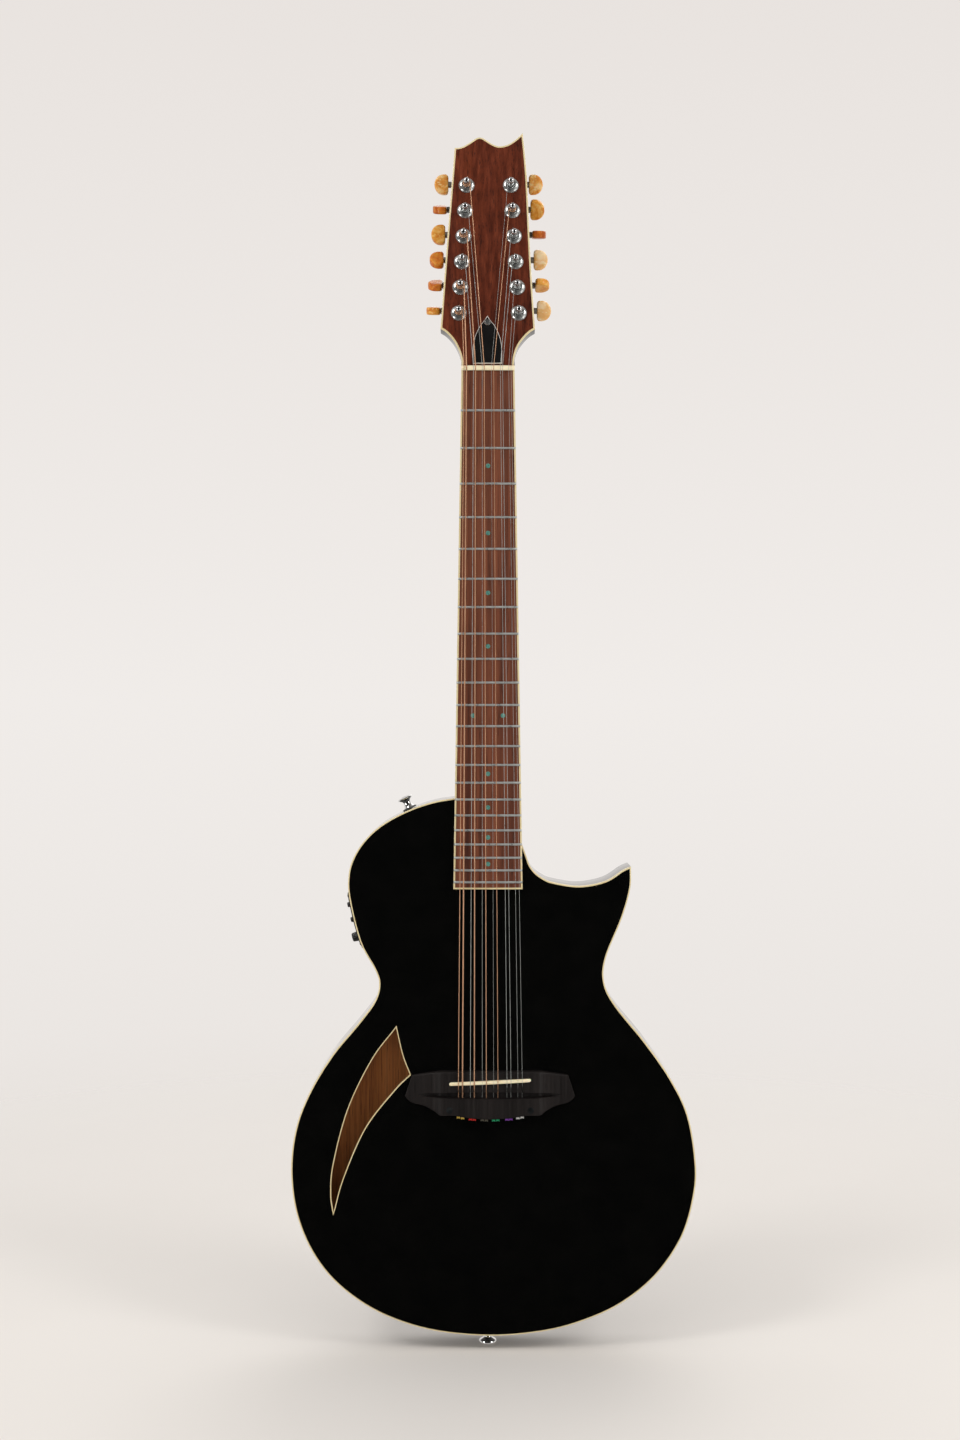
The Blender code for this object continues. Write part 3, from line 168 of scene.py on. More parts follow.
# Body and neck; the heel is by share of its length, with its share of the depth and its roundness
SIDE_THICKNESS = 3
BINDING_WIDTH = 1.2
BINDING_DEPTH = 6
BACK_ROUND = 4
BACK_CROWN = 1.6
BACK_INSIDE = REAR + 3.7
LINING = 6
CRESCENT_RIM = 0.9
NECK_DEPTH_AT_NUT = 15
NECK_DEPTH_AT_HEEL = 17
HEEL_DEPTH = 44
HEEL_LENGTH = 66
HEEL_SECTIONS = (
    (0, 1, 2.6), (0.12, 0.93, 2.6), (0.3, 0.62, 2.4), (0.5, 0.28, 2.2), (0.72, 0.08, 2.1), (1, 0, 2.1),
)

# Braces: name, x from and to, and height. The middle one of the back stops short of the soundhole.
TOP_BRACES = (
    ("upper", -75, 80, 336), ("waist", -58, 88, 294), ("middle", -102, 150, 140), ("lower", -105, 118, 78),
)
BACK_BRACES = (("low", -125, 135, 95), ("middle", -80, 135, 205), ("waist", -78, 84, 318))
BRACE_WIDTH = 8
BRACE_HEIGHT = 9

# Outlines. The body's are x and height above its lowest point, round from the neck's bass side.
BOUTS = (
    (-49.6, 486.1), (-72, 478.5), (-94.6, 466.6), (-110.5, 453), (-121.5, 437.2), (-126.9, 420),
    (-126.2, 398), (-116.3, 358.5), (-103, 333.5), (-99.1, 320.3), (-103.3, 304.3),
    (-118.5, 283.6), (-141.5, 255.8), (-161.7, 222.8), (-174.6, 189.7), (-179.2, 152),
    (-174.6, 112.4), (-160, 76.3), (-135.9, 46.2), (-99, 21.1), (-53, 5.4), (0, 0),
    (47.6, 3.6), (84.4, 12.8), (121.1, 29.4), (153, 55.3), (176.5, 89.8), (187.5, 126.8),
    (189.2, 157.8), (182, 200.7), (166.3, 233.8), (143.4, 266.8), (117.1, 299.3),
    (106.2, 320.5), (107.3, 343.5), (122, 380.1), (129.6, 407), (130.4, 427),
)
CUTAWAY = (
    (130.4, 427), (122.7, 423.6), (106.8, 413.8), (83, 409.4), (58.8, 412.9),
    (49.9, 416.6), (43, 421.8), (38, 428.5), (34.9, 437), (33.2, 448),
)
CRESCENT_SIDES = (
    ((-83.7, 280.3), (-105.5, 251.1), (-127.4, 205.6), (-140.6, 155.6), (-142.7, 129.2), (-140.7, 112.3)),
    ((-140.7, 112.3), (-131.9, 143.7), (-111.9, 189.2), (-85.1, 223.8), (-71.1, 237.7)),
    ((-71.1, 237.7), (-77.9, 255.5), (-83.7, 280.3)),
)
HEAD_SIDES = (
    ((-23.9, 0), (-24.4, 7), (-26.8, 15), (-31.5, 24), (-38, 31.5), (-43.2, 35)),
    ((-43.2, 35), (-38.4, 106), (-30.7, 209)),
    ((-30.7, 209), (-27, 209.1), (-23, 210.3), (-18, 213.2), (-13.8, 216.1), (-10.8, 218.3), (-7.6, 219.2),
     (-4.4, 218.3), (-1.4, 216.3), (4.7, 212.3), (10.9, 210.4), (18.6, 212.2), (26.3, 217.4), (32.4, 223.5)),
    ((32.4, 223.5), (35.9, 181.3), (38.9, 106), (42.9, 34.6)),
    ((42.9, 34.6), (38, 31.4), (32.8, 26), (27.6, 18.4), (24.4, 9), (23.4, 0)),
    ((23.4, 0), (-23.9, 0)),
)
HEAD_STEPS = 6
BRIDGE_REAR_SIDE = (
    (0, 0), (19, 1.2), (32, 3.3), (45.2, 3.5), (49.3, 6.3), (58.8, 11.4), (70, 14.2), (74.7, 17.1),
    (77.2, 20.5),
)
BRIDGE_FRONT_SIDE = ((0, 43.2), (45.2, 43.2), (71, 39.5), (77.2, 20.5))

# Hardware on the sides; knobs by name, radius and rise off the panel
UPPER_BUTTON_TOP = Vector((-77.16, 0, 503.534))
UPPER_BUTTON_HEIGHT = 12
UPPER_BUTTON_OUTWARD = Vector((-0.429971, 0, 0.902843))
KNOBS = (("volume_knob", 4.4, 6.5), ("bass_knob", 2.5, 3.4), ("treble_knob", 2.5, 3.4))
PANEL_MIDDLE = BODY_LOW + 377.5

BODY_FRAME = Matrix.Rotation(pi / 2, 4, "X")
HEAD_FRAME = Matrix.Translation((0, -HEAD_W, HEAD_Z)) @ Matrix.Rotation(pi / 2 - HEAD_TILT, 4, "X")


# Lines in the plan

def smooth(points, steps):
    """A smooth line through every point, with so many steps between each pair."""
    first = 2 * Vector(points[0]) - Vector(points[1])
    last = 2 * Vector(points[-1]) - Vector(points[-2])
    knots = [first, *map(Vector, points), last]
    line = []
    for before, start, end, after in zip(knots, knots[1:], knots[2:], knots[3:]):
        for i in range(steps):
            t = i / steps
            line.append(0.5 * (
                2 * start + (end - before) * t
                + (2 * before - 5 * start + 4 * end - after) * t ** 2
                + (3 * start - before - 3 * end + after) * t ** 3))
    line.append(Vector(points[-1]))
    return line


def chain(stretches, steps):
    """A closed loop of smooth stretches that meet at corners."""
    return np.array([point for stretch in stretches for point in smooth(stretch, steps)[:-1]])


def circle(radius, sides, start=0.0):
    angles = [2 * pi * i / sides + start for i in range(sides)]
    return [(radius * cos(angle), radius * sin(angle)) for angle in angles]


def units(vectors):
    return vectors / np.maximum(np.linalg.norm(vectors, axis=1), 1e-9)[:, None]


def moved(loop, distance):
    """A closed loop moved inward by a distance, point for point, with its mitres held short."""
    following = np.roll(loop, -1, 0)
    first = units(loop - np.roll(loop, 1, 0))
    second = units(following - loop)
    area = (loop[:, 0] * following[:, 1] - following[:, 0] * loop[:, 1]).sum()
    turn = 1 if area > 0 else -1
    normal = turn * np.stack((-first[:, 1], first[:, 0]), 1)
    other = turn * np.stack((-second[:, 1], second[:, 0]), 1)
    middle = units(normal + other)
    reach = distance / np.maximum(0.35, (middle * normal).sum(1))
    return loop + middle * reach[:, None]


def nearest(loop, points):
    """The nearest spot of a closed loop to each point, and how far it is."""
    side = np.roll(loop, -1, 0) - loop
    length = np.maximum((side ** 2).sum(1), 1e-12)
    share = np.clip(((points[:, None] - loop) * side).sum(2) / length, 0, 1)
    spots = loop + share[..., None] * side
    gaps = np.linalg.norm(points[:, None] - spots, axis=2)
    best = gaps.argmin(1)
    rows = np.arange(len(points))
    return spots[rows, best], gaps[rows, best]


def inset(loop, distance):
    """The loop moved inward, or outward by a negative distance, with what folds over drawn to one spot."""
    if not distance:
        return loop
    line = moved(loop, distance)
    kept = line[nearest(loop, line)[1] > 0.97 * abs(distance)]
    return nearest(kept, line)[0]


def inside(loop, points):
    """Which points lie inside a closed loop."""
    start, end = loop, np.roll(loop, -1, 0)
    x, y = points[:, 0][:, None], points[:, 1][:, None]
    spans = (start[:, 1] > y) != (end[:, 1] > y)
    rise = np.where(end[:, 1] == start[:, 1], 1, end[:, 1] - start[:, 1])
    crossing = start[:, 0] + (y - start[:, 1]) / rise * (end[:, 0] - start[:, 0])
    return (spans & (x < crossing)).sum(1) % 2 == 1


def on_body(points):
    return [(x, BODY_LOW + v) for x, v in points]


def board_half(z):
    """Half the fingerboard's width at a height."""
    share = (NUT_LOW - z) / (NUT_LOW - BOARD_LOW)
    return NUT_HALF + (BOARD_END_HALF - NUT_HALF) * share


def cambered(x, face):
    """Height of a surface that curves away from its middle, like the fingerboard."""
    return face - x * x / (2 * CAMBER)


def body_outline(steps):
    corner = board_half(BODY_HIGH)
    cutaway = on_body(CUTAWAY)
    cutaway[-1] = (board_half(cutaway[-1][1]), cutaway[-1][1])
    bouts = smooth([(-corner, BODY_HIGH), *on_body(BOUTS)], steps)
    return np.array(bouts[:-1] + smooth(cutaway, steps) + [Vector((corner, BODY_HIGH))])


OUTLINE = body_outline(6)
CRESCENT = chain([on_body(side) for side in CRESCENT_SIDES], 8)
HEAD_OUTLINE = chain(HEAD_SIDES, HEAD_STEPS)


# Shapes

class Shape:
    """Points and faces of one mesh. A face is its corners, its finish and where they lie when unrolled."""

    def __init__(self):
        self.points = []
        self.faces = []

    def add_points(self, points):
        first = len(self.points)
        self.points += [Vector(point) for point in points]
        return list(range(first, len(self.points)))

    def add_face(self, corners, paint=0, unrolled=None):
        self.faces.append((tuple(corners), paint, unrolled))

    def rings(self, rings, around=True, along=False, paint=0, lengths=None):
        """Faces between rings of as many points each, and the numbers of the points in each ring."""
        rows = [self.add_points(ring) for ring in rings]
        pairs = list(zip(rows, rows[1:]))
        if along:
            pairs.append((rows[-1], rows[0]))
        count = len(rows[0])
        for k, (lower, upper) in enumerate(pairs):
            for i in range(count if around else count - 1):
                j = (i + 1) % count
                unrolled = None
                if lengths:
                    low, high = i / count, (i + 1) / count
                    here, there = lengths[k], lengths[k + 1]
                    unrolled = ((here, low), (here, high), (there, high), (there, low))
                self.add_face((lower[i], lower[j], upper[j], upper[i]), paint, unrolled)
        return rows

    def cap(self, *loops, paint=0):
        """Triangles over a flat outline and the holes in it, given by the numbers of their points."""
        numbers = [number for loop in loops for number in loop]
        for triangle in tessellate_polygon([[self.points[n] for n in loop] for loop in loops]):
            self.add_face([numbers[corner] for corner in triangle], paint)

    def add(self, other):
        """Another shape's points and faces too."""
        numbers = self.add_points(other.points)
        for corners, paint, unrolled in other.faces:
            self.add_face([numbers[corner] for corner in corners], paint, unrolled)


def loft(rings, **options):
    """A skin over rings, with a face over the first and the last."""
    shape = Shape()
    rows = shape.rings(rings, **options)
    shape.add_face(rows[0])
    shape.add_face(rows[-1])
    return shape


def layers(loop, profile):
    """Rings of an outline by (inset, w)."""
    return [[(x, v, w) for x, v in inset(loop, distance)] for distance, w in profile]


def tapered(loop, profile):
    """Rings of a loop scaled about the origin, by (size, height)."""
    return [[(x * size, y * size, height) for x, y in loop] for size, height in profile]


def turned(profile, sides=40):
    """A profile of (radius, height) turned about Z. It closes at each end whose radius is zero."""
    shape = Shape()
    shape.rings(tapered(circle(1, sides), profile))
    return shape


def slab(loop, profile, holes=()):
    """An outline through a profile of (inset, w), front face first, and the straight holes in it."""
    shape = Shape()
    rows = shape.rings(layers(loop, profile))
    front, rear = [rows[0]], [rows[-1]]
    for hole in holes:
        walls = shape.rings(layers(hole, [(0, profile[0][1]), (0, profile[-1][1])]))
        front.append(walls[0])
        rear.append(walls[-1])
    shape.cap(*front)
    shape.cap(*rear)
    return shape


def hoop(loop, profile):
    """A closed strip round an outline, whose section is a closed profile of (inset, w)."""
    shape = Shape()
    shape.rings(layers(loop, profile), along=True)
    return shape


def round_edge(radius, w, towards, steps=5):
    """Profile points of a rounded edge, from its flat face at w to its side."""
    angles = [pi / 2 * i / steps for i in range(steps + 1)]
    return [(radius * (1 - sin(angle)), w + towards * radius * (1 - cos(angle))) for angle in angles]


def soft_slab(loop, front, rear, radius, steps=4):
    """An outline between two depths with both its edges rounded."""
    return slab(loop, round_edge(radius, front, -1, steps) + round_edge(radius, rear, 1, steps)[::-1])


def swept(points, radius, sides=12):
    """A round tube along points, closed at both ends, with its length kept for its finish."""
    rings, lengths = [], []
    travelled = 0
    side = Vector((0, 1, 0))
    for i, point in enumerate(points):
        along = (points[min(i + 1, len(points) - 1)] - points[max(i - 1, 0)]).normalized()
        if i == 0 and abs(along.dot(side)) > 0.9:
            side = Vector((1, 0, 0))
        side = (side - along * side.dot(along)).normalized()
        up = along.cross(side)
        if i:
            travelled += (point - points[i - 1]).length
        lengths.append(travelled)
        rings.append([point + a * side + b * up for a, b in circle(radius, sides)])
    return loft(rings, lengths=lengths)


def rounded_box(size, radius, steps=3):
    """A box about the origin with all its edges rounded."""
    half_x, half_y, half_z = (length / 2 for length in size)
    loop = []
    for k, (x, y) in enumerate(((1, 1), (-1, 1), (-1, -1), (1, -1))):
        for i in range(steps + 1):
            angle = pi / 2 * (k + i / steps)
            across = x * (half_x - radius) + radius * cos(angle)
            up = y * (half_y - radius) + radius * sin(angle)
            loop.append((across, up))
    return soft_slab(np.array(loop), half_z, -half_z, radius * 0.9, steps)


def rounded_loop(corners, radius, steps=5):
    """A convex loop of corners with each one rounded."""
    loop = []
    for i in range(len(corners)):
        before, here, after = (Vector(corners[(i + k) % len(corners)]) for k in (-1, 0, 1))
        start = here + (before - here).normalized() * radius
        stop = here + (after - here).normalized() * radius
        for k in range(steps + 1):
            t = k / steps
            loop.append((1 - t) ** 2 * start + 2 * t * (1 - t) * here + t ** 2 * stop)
    return np.array(loop)


def screw_head(radius, height):
    """A domed screw head with a cross cut into it, on z = 0."""
    arm, half = radius * 0.62, radius * 0.14
    cross = []
    for quarter in range(4):
        turn = Matrix.Rotation(pi / 2 * quarter, 2)
        cross += [turn @ Vector(point) for point in ((arm, -half), (arm, half), (half, half))]
    shape = Shape()
    dome = ((1, 0), (1, height * 0.35), (0.93, height * 0.7), (0.78, height))
    rows = shape.rings(tapered(circle(radius, 48, -0.25), dome))
    walls = shape.rings(tapered(cross, ((1, height), (0.8, height * 0.25))))
    shape.cap(rows[-1], walls[0])
    shape.cap(walls[-1])
    shape.cap(rows[0])
    return shape


# Finishes

class Nodes:
    """The node tree of a material or a world in the making."""

    def __init__(self, owner):
        owner.use_nodes = True
        self.tree = owner.node_tree

    def node(self, kind, inputs=None, **settings):
        made = self.tree.nodes.new("ShaderNode" + kind)
        for key, value in settings.items():
            setattr(made, key, value)
        for key, value in (inputs or {}).items():
            if isinstance(value, bpy.types.NodeSocket):
                self.tree.links.new(value, made.inputs[key])
            else:
                made.inputs[key].default_value = value
        return made

    def ramp(self, value, *stops):
        """Colours at places from 0 to 1."""
        made = self.node("ValToRGB", {"Fac": value})
        elements = made.color_ramp.elements
        while len(elements) < len(stops):
            elements.new(0.5)
        for element, (position, colour) in zip(elements, stops):
            element.position = position
            element.color = (*colour, 1)
        return made.outputs["Color"]


class Paint(Nodes):
    """A material in the making: its Principled shader and the nodes that feed it."""

    def __init__(self, name, colour, roughness, metallic=0, **sockets):
        self.material = bpy.data.materials.new(name)
        super().__init__(self.material)
        self.material.diffuse_color = (*colour, 1)
        self.inputs = self.tree.nodes["Principled BSDF"].inputs
        self.inputs["Base Color"].default_value = (*colour, 1)
        self.inputs["Roughness"].default_value = roughness
        self.inputs["Metallic"].default_value = metallic
        for socket, value in sockets.items():
            self.inputs[socket.replace("_", " ")].default_value = value

    def place(self, stretch=(1, 1, 1), shift=(0, 0, 0)):
        """Coordinates for a texture, stretched and shifted."""
        coordinates = self.node("TexCoord").outputs["Object"]
        inputs = {"Vector": coordinates, "Scale": stretch, "Location": shift}
        return self.node("Mapping", inputs).outputs["Vector"]

    def noise(self, where, scale, detail=4, roughness=0.55, distortion=0):
        inputs = {"Vector": where, "Scale": scale, "Detail": detail, "Roughness": roughness,
                  "Distortion": distortion}
        return self.node("TexNoise", inputs).outputs["Fac"]

    def span(self, value, low, high, to_low=0.0, to_high=1.0):
        """A value's range turned into another range, smoothly."""
        inputs = {"Value": value, "From Min": low, "From Max": high, "To Min": to_low, "To Max": to_high}
        return self.node("MapRange", inputs, interpolation_type="SMOOTHSTEP").outputs["Result"]

    def mix(self, share, base, over):
        """One colour laid over another by a share; the upper one is a socket or a plain colour."""
        upper = over if isinstance(over, bpy.types.NodeSocket) else (*over, 1)
        return self.node("Mix", {0: share, 6: base, 7: upper}, data_type="RGBA").outputs[2]

    def maths(self, operation, first, second):
        return self.node("Math", {0: first, 1: second}, operation=operation).outputs["Value"]

    def finished(self, colour, roughness, height, strength, distance):
        """The material, with its colour, its roughness and a bump from a height."""
        bump = self.node("Bump", {"Height": height, "Strength": strength, "Distance": distance * MM})
        self.tree.links.new(colour, self.inputs["Base Color"])
        self.tree.links.new(roughness, self.inputs["Roughness"])
        self.tree.links.new(bump.outputs["Normal"], self.inputs["Normal"])
        return self.material


def scaled(colour, share):
    return tuple(c * share for c in colour)


def black_lacquer():
    paint = Paint("black_lacquer", (0.0018, 0.0019, 0.0017), 0.05, IOR=1.65)
    where = paint.place()
    haze = paint.span(paint.noise(where, 9, 3), 0.3, 0.7, 0.035, 0.07)
    cloud = paint.noise(where, 60, 3)
    colour = paint.ramp(cloud, (0.3, (0.0014, 0.0015, 0.0014)), (0.7, (0.0024, 0.0024, 0.0022)))
    return paint.finished(colour, haze, paint.noise(where, 240, 2), 0.01, 0.2)


def cream_binding():
    paint = Paint("cream_binding", (0.68, 0.57, 0.31), 0.28, Subsurface_Weight=0.05, Subsurface_Scale=0.002,
                  Coat_Weight=0.5, Coat_Roughness=0.08)
    cloud = paint.noise(paint.place(), 35, 4)
    streak = paint.noise(paint.place((1, 1, 0.12)), 420, 3)
    base = paint.ramp(cloud, (0.3, (0.62, 0.5, 0.25)), (0.7, (0.72, 0.6, 0.34)))
    lines = paint.ramp(streak, (0.35, (0.6, 0.46, 0.27)), (0.65, (0.9, 0.82, 0.64)))
    colour = paint.mix(0.12, base, lines)
    return paint.finished(colour, paint.span(cloud, 0.3, 0.7, 0.24, 0.34), streak, 0.04, 0.1)


def wood(name, dark, middle, light, grain, roughness, pore_depth=0.25, coat=0.0, band=6.0, shift=0.0):
    """Straight-grained wood along Z: broad bands, fine streaks and long open pores."""
    paint = Paint(name, middle, roughness, Coat_Weight=coat, Coat_Roughness=0.08, Specular_IOR_Level=0.3)
    wander = paint.noise(paint.place((1, 1, 0.05), (shift, 0, 0)), band * 6, 3, 0.6, 0.8)
    streak = paint.noise(paint.place((1, 1, 0.018), (shift, 0, 0)), grain, 6, 0.65)
    pores = paint.noise(paint.place((1, 1, 0.03), (shift, 0.1, 0)), grain * 3.2, 3, 0.7)
    broad = paint.ramp(wander, (0.3, dark), (0.5, middle), (0.72, light))
    fine = paint.ramp(streak, (0.32, dark), (0.55, middle), (0.75, light))
    pore = paint.span(pores, 0.56, 0.66)
    colour = paint.mix(paint.maths("MULTIPLY", pore, 0.6), paint.mix(0.6, broad, fine), scaled(dark, 0.3))
    height = paint.maths("SUBTRACT", paint.maths("MULTIPLY", streak, 0.4), pore)
    dullness = paint.span(streak, 0.3, 0.7, roughness * 0.8, roughness * 1.2)
    return paint.finished(colour, dullness, height, pore_depth, 0.12)


def bone():
    paint = Paint("bone", (0.83, 0.7, 0.5), 0.32, Subsurface_Weight=0.15, Subsurface_Scale=0.002)
    cloud = paint.noise(paint.place((1, 3, 3)), 120, 5)
    fleck = paint.noise(paint.place((0.2, 1, 1)), 1600, 2)
    base = paint.ramp(cloud, (0.25, (0.77, 0.66, 0.42)), (0.75, (0.87, 0.78, 0.56)))
    colour = paint.mix(paint.span(fleck, 0.62, 0.75), base, (0.66, 0.54, 0.34))
    return paint.finished(colour, paint.span(cloud, 0.3, 0.7, 0.25, 0.4), fleck, 0.05, 0.05)


def metal(name, dark, light, roughness, brush=(1, 1, 1), scale=900, depth=0.02, purity=1.0):
    """Metal with faint smudges and fine marks. Its purity is how much of it shines as bare metal does."""
    paint = Paint(name, light, roughness, purity)
    smudge = paint.noise(paint.place(), 130, 4)
    marks = paint.noise(paint.place(brush), scale, 3)
    dullness = paint.span(smudge, 0.25, 0.75, roughness * 0.6, roughness * 1.7)
    return paint.finished(paint.ramp(smudge, (0.3, dark), (0.65, light)), dullness, marks, depth, 0.05)


def wound_metal(name, dark, light, pitch):
    """A string wrapped with wire, whose turns lie a pitch apart along it, with painted shade in the grooves
    between its turns.
    """
    paint = Paint(name, light, 0.35, 0.6)
    inputs = {"Vector": paint.node("UVMap").outputs["UV"], "Scale": 0.314 / pitch, "Distortion": 0.0}
    wraps = paint.node("TexWave", inputs, bands_direction="X").outputs["Fac"]
    tarnish = paint.noise(paint.place(), 60, 4)
    bright = paint.ramp(tarnish, (0.3, scaled(light, 0.8)), (0.7, light))
    # Dark to light across each turn: painted shade in the grooves between the turns, painted light on their
    # crowns.
    colour = paint.node("Mix", {0: wraps, 6: (*dark, 1), 7: bright}, data_type="RGBA").outputs[2]
    return paint.finished(colour, paint.span(tarnish, 0.3, 0.7, 0.3, 0.4), wraps, 0.3, 0.03)


def pearloid(name, dark, middle, light, shift):
    """Moulded plastic with swirled pearly clouds, different in each button."""
    paint = Paint(name, middle, 0.35, Coat_Weight=0.1, Coat_Roughness=0.15, Subsurface_Weight=0.1,
                  Subsurface_Scale=0.003, Specular_IOR_Level=0.3)
    where = paint.place((1, 1, 1), (shift * 0.37, shift * 0.11, shift * 0.23))
    swirl = paint.noise(where, 60, 2, 0.5, 2.4)
    veins = paint.noise(where, 95, 2, 0.5, 3.5)
    base = paint.ramp(swirl, (0.3, dark), (0.48, middle), (0.68, light))
    colour = paint.mix(paint.span(veins, 0.56, 0.72), base, light)
    return paint.finished(colour, paint.span(veins, 0.3, 0.7, 0.3, 0.42), veins, 0.03, 0.1)


def moulded(name, colour, roughness, grain=1400, depth=0.12):
    """Plastic with a fine moulded grain."""
    paint = Paint(name, colour, roughness)
    where = paint.place()
    cloud = paint.noise(where, 70, 3)
    lighter = tuple(min(1, c * 1.25 + 0.002) for c in colour)
    dullness = paint.span(cloud, 0.3, 0.7, roughness * 0.85, roughness * 1.15)
    return paint.finished(paint.ramp(cloud, (0.3, colour), (0.7, lighter)), dullness,
                          paint.noise(where, grain, 2), depth, 0.05)


def abalone():
    paint = Paint("abalone", (0.2, 0.4, 0.38), 0.15, Coat_Weight=1.0, Coat_Roughness=0.04)
    waves = paint.noise(paint.place(), 330, 3, 0.6, 4)
    layered = paint.noise(paint.place((1, 1, 3)), 620, 4, 0.6, 2)
    base = paint.ramp(waves, (0.3, (0.02, 0.08, 0.085)), (0.45, (0.04, 0.2, 0.16)), (0.6, (0.14, 0.32, 0.26)),
                      (0.75, (0.22, 0.18, 0.22)))
    colour = paint.mix(paint.span(layered, 0.5, 0.7), base, (0.2, 0.32, 0.27))
    return paint.finished(colour, paint.span(layered, 0.3, 0.7, 0.1, 0.25), layered, 0.05, 0.05)


def felt():
    paint = Paint("felt", (0.02, 0.02, 0.02), 0.95, Sheen_Weight=0.4)
    fibres = paint.noise(paint.place(), 2600, 4)
    colour = paint.ramp(fibres, (0.3, (0.008, 0.008, 0.008)), (0.7, (0.05, 0.05, 0.048)))
    return paint.finished(colour, paint.span(fibres, 0.3, 0.7, 0.85, 1.0), fibres, 0.6, 0.2)


LACQUER = black_lacquer()
CREAM = cream_binding()
BONE = bone()
FACE_WOOD = wood("rosewood_face", (0.02, 0.004, 0.0025), (0.115, 0.018, 0.0038), (0.23, 0.042, 0.0085),
                 260, 0.35, 0.06, 0.15)
BOARD_WOOD = wood("fingerboard_rosewood", (0.05, 0.012, 0.006), (0.155, 0.041, 0.016), (0.26, 0.08, 0.034),
                  300, 0.55, 0.25, shift=0.3)
BRIDGE_WOOD = wood("bridge_ebony", (0.005, 0.0035, 0.0032), (0.0115, 0.0085, 0.0078), (0.022, 0.0165, 0.015),
                   420, 0.5, 0.2, shift=0.7)
MAHOGANY = wood("mahogany", (0.18, 0.05, 0.012), (0.58, 0.2, 0.052), (0.85, 0.37, 0.12),
                240, 0.7, 0.2, band=9, shift=1.1)
SPRUCE = wood("spruce", (0.42, 0.27, 0.13), (0.56, 0.4, 0.21), (0.64, 0.48, 0.28), 500, 0.6, 0.1, shift=1.7)
CHROME = metal("chrome", (0.72, 0.73, 0.74), (0.82, 0.83, 0.83), 0.09, depth=0.01)
SATIN_CHROME = metal("satin_chrome", (0.62, 0.64, 0.63), (0.72, 0.74, 0.73), 0.26, depth=0.01)
NICKEL = metal("fret_nickel", (0.46, 0.48, 0.47), (0.6, 0.62, 0.6), 0.32, (0.1, 1, 1), 1500, 0.03, 0.6)
STEEL = metal("plain_steel", (0.46, 0.48, 0.46), (0.52, 0.54, 0.52), 0.4, (1, 1, 0.05), 2400, 0.004, 0.55)
DARK_METAL = metal("dark_metal", (0.14, 0.125, 0.105), (0.22, 0.2, 0.17), 0.35, purity=0.5)
GEAR_BRONZE = metal("gear_bronze", (0.4, 0.24, 0.1), (0.6, 0.4, 0.18), 0.3)
BLACK_PLASTIC = moulded("black_plastic", (0.012, 0.012, 0.013), 0.32)
GLOSS_PLASTIC = moulded("gloss_plastic", (0.006, 0.006, 0.006), 0.12, 300, 0.02)
WHITE_PLASTIC = moulded("white_plastic", (0.75, 0.72, 0.66), 0.35, 900, 0.05)
ABALONE = abalone()
FELT = felt()
DARK_PEARL = pearloid("dark_pearl", (0.003, 0.0035, 0.004), (0.005, 0.006, 0.0065), (0.012, 0.014, 0.015), 2)

# Wrap wire on the wound strings, by string: its pitch
WRAP_PITCHES = {0: 0.17, 1: 0.3, 3: 0.25, 5: 0.19, 7: 0.15}
WOUND = {
    # The darker colour is painted shade for the grooves between the wire's turns.
    number: wound_metal(f"bronze_winding_{number + 1}", (0.46, 0.23, 0.12), (0.95, 0.57, 0.36), pitch)
    for number, pitch in WRAP_PITCHES.items()
}

# Ball ends by pair, from the bass side
BALL_COLOURS = (
    (0.85, 0.6, 0.12), (0.75, 0.04, 0.03), (0.14, 0.13, 0.1), (0.04, 0.5, 0.22), (0.32, 0.1, 0.55),
    (0.85, 0.85, 0.82),
)
BALL_FINISHES = [
    metal(f"ball_end_{k + 1}", scaled(colour, 0.8), colour, 0.3, purity=0.4)
    for k, colour in enumerate(BALL_COLOURS)
]

# Buttons from the nut upward: dark, middle and light swirls
AMBER = ((0.56, 0.17, 0.01), (0.7, 0.29, 0.03), (0.8, 0.46, 0.12))
HONEY = ((0.56, 0.15, 0.008), (0.76, 0.36, 0.07), (0.86, 0.57, 0.25))
ORANGE = ((0.42, 0.08, 0.004), (0.6, 0.16, 0.008), (0.7, 0.27, 0.03))
DEEP_ORANGE = ((0.32, 0.055, 0.002), (0.47, 0.105, 0.004), (0.62, 0.2, 0.015))
PEARL = ((0.74, 0.36, 0.1), (0.83, 0.48, 0.18), (0.91, 0.7, 0.42))
BUTTON_COLOURS = {
    -1: (AMBER, ORANGE, ORANGE, AMBER, DEEP_ORANGE, HONEY),
    1: (PEARL, AMBER, PEARL, DEEP_ORANGE, AMBER, HONEY),
}
SIDE_NAMES = {-1: "bass", 1: "treble"}
BUTTON_FINISHES = {
    side: [
        pearloid(f"button_{SIDE_NAMES[side]}_{k + 1}", *colours, 3 * k + side)
        for k, colours in enumerate(row)
    ]
    for side, row in BUTTON_COLOURS.items()
}


# Making pieces

def settled(item, body, stands_for, object_frame):
    """An object put in its place in the scene, with its body and the nodes it stands for."""
    bpy.context.scene.collection.objects.link(item)
    if object_frame:
        item.matrix_world = object_frame
        item.matrix_world.translation *= MM
    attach(item, body)
    if stands_for:
        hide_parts(*stands_for)
    return item


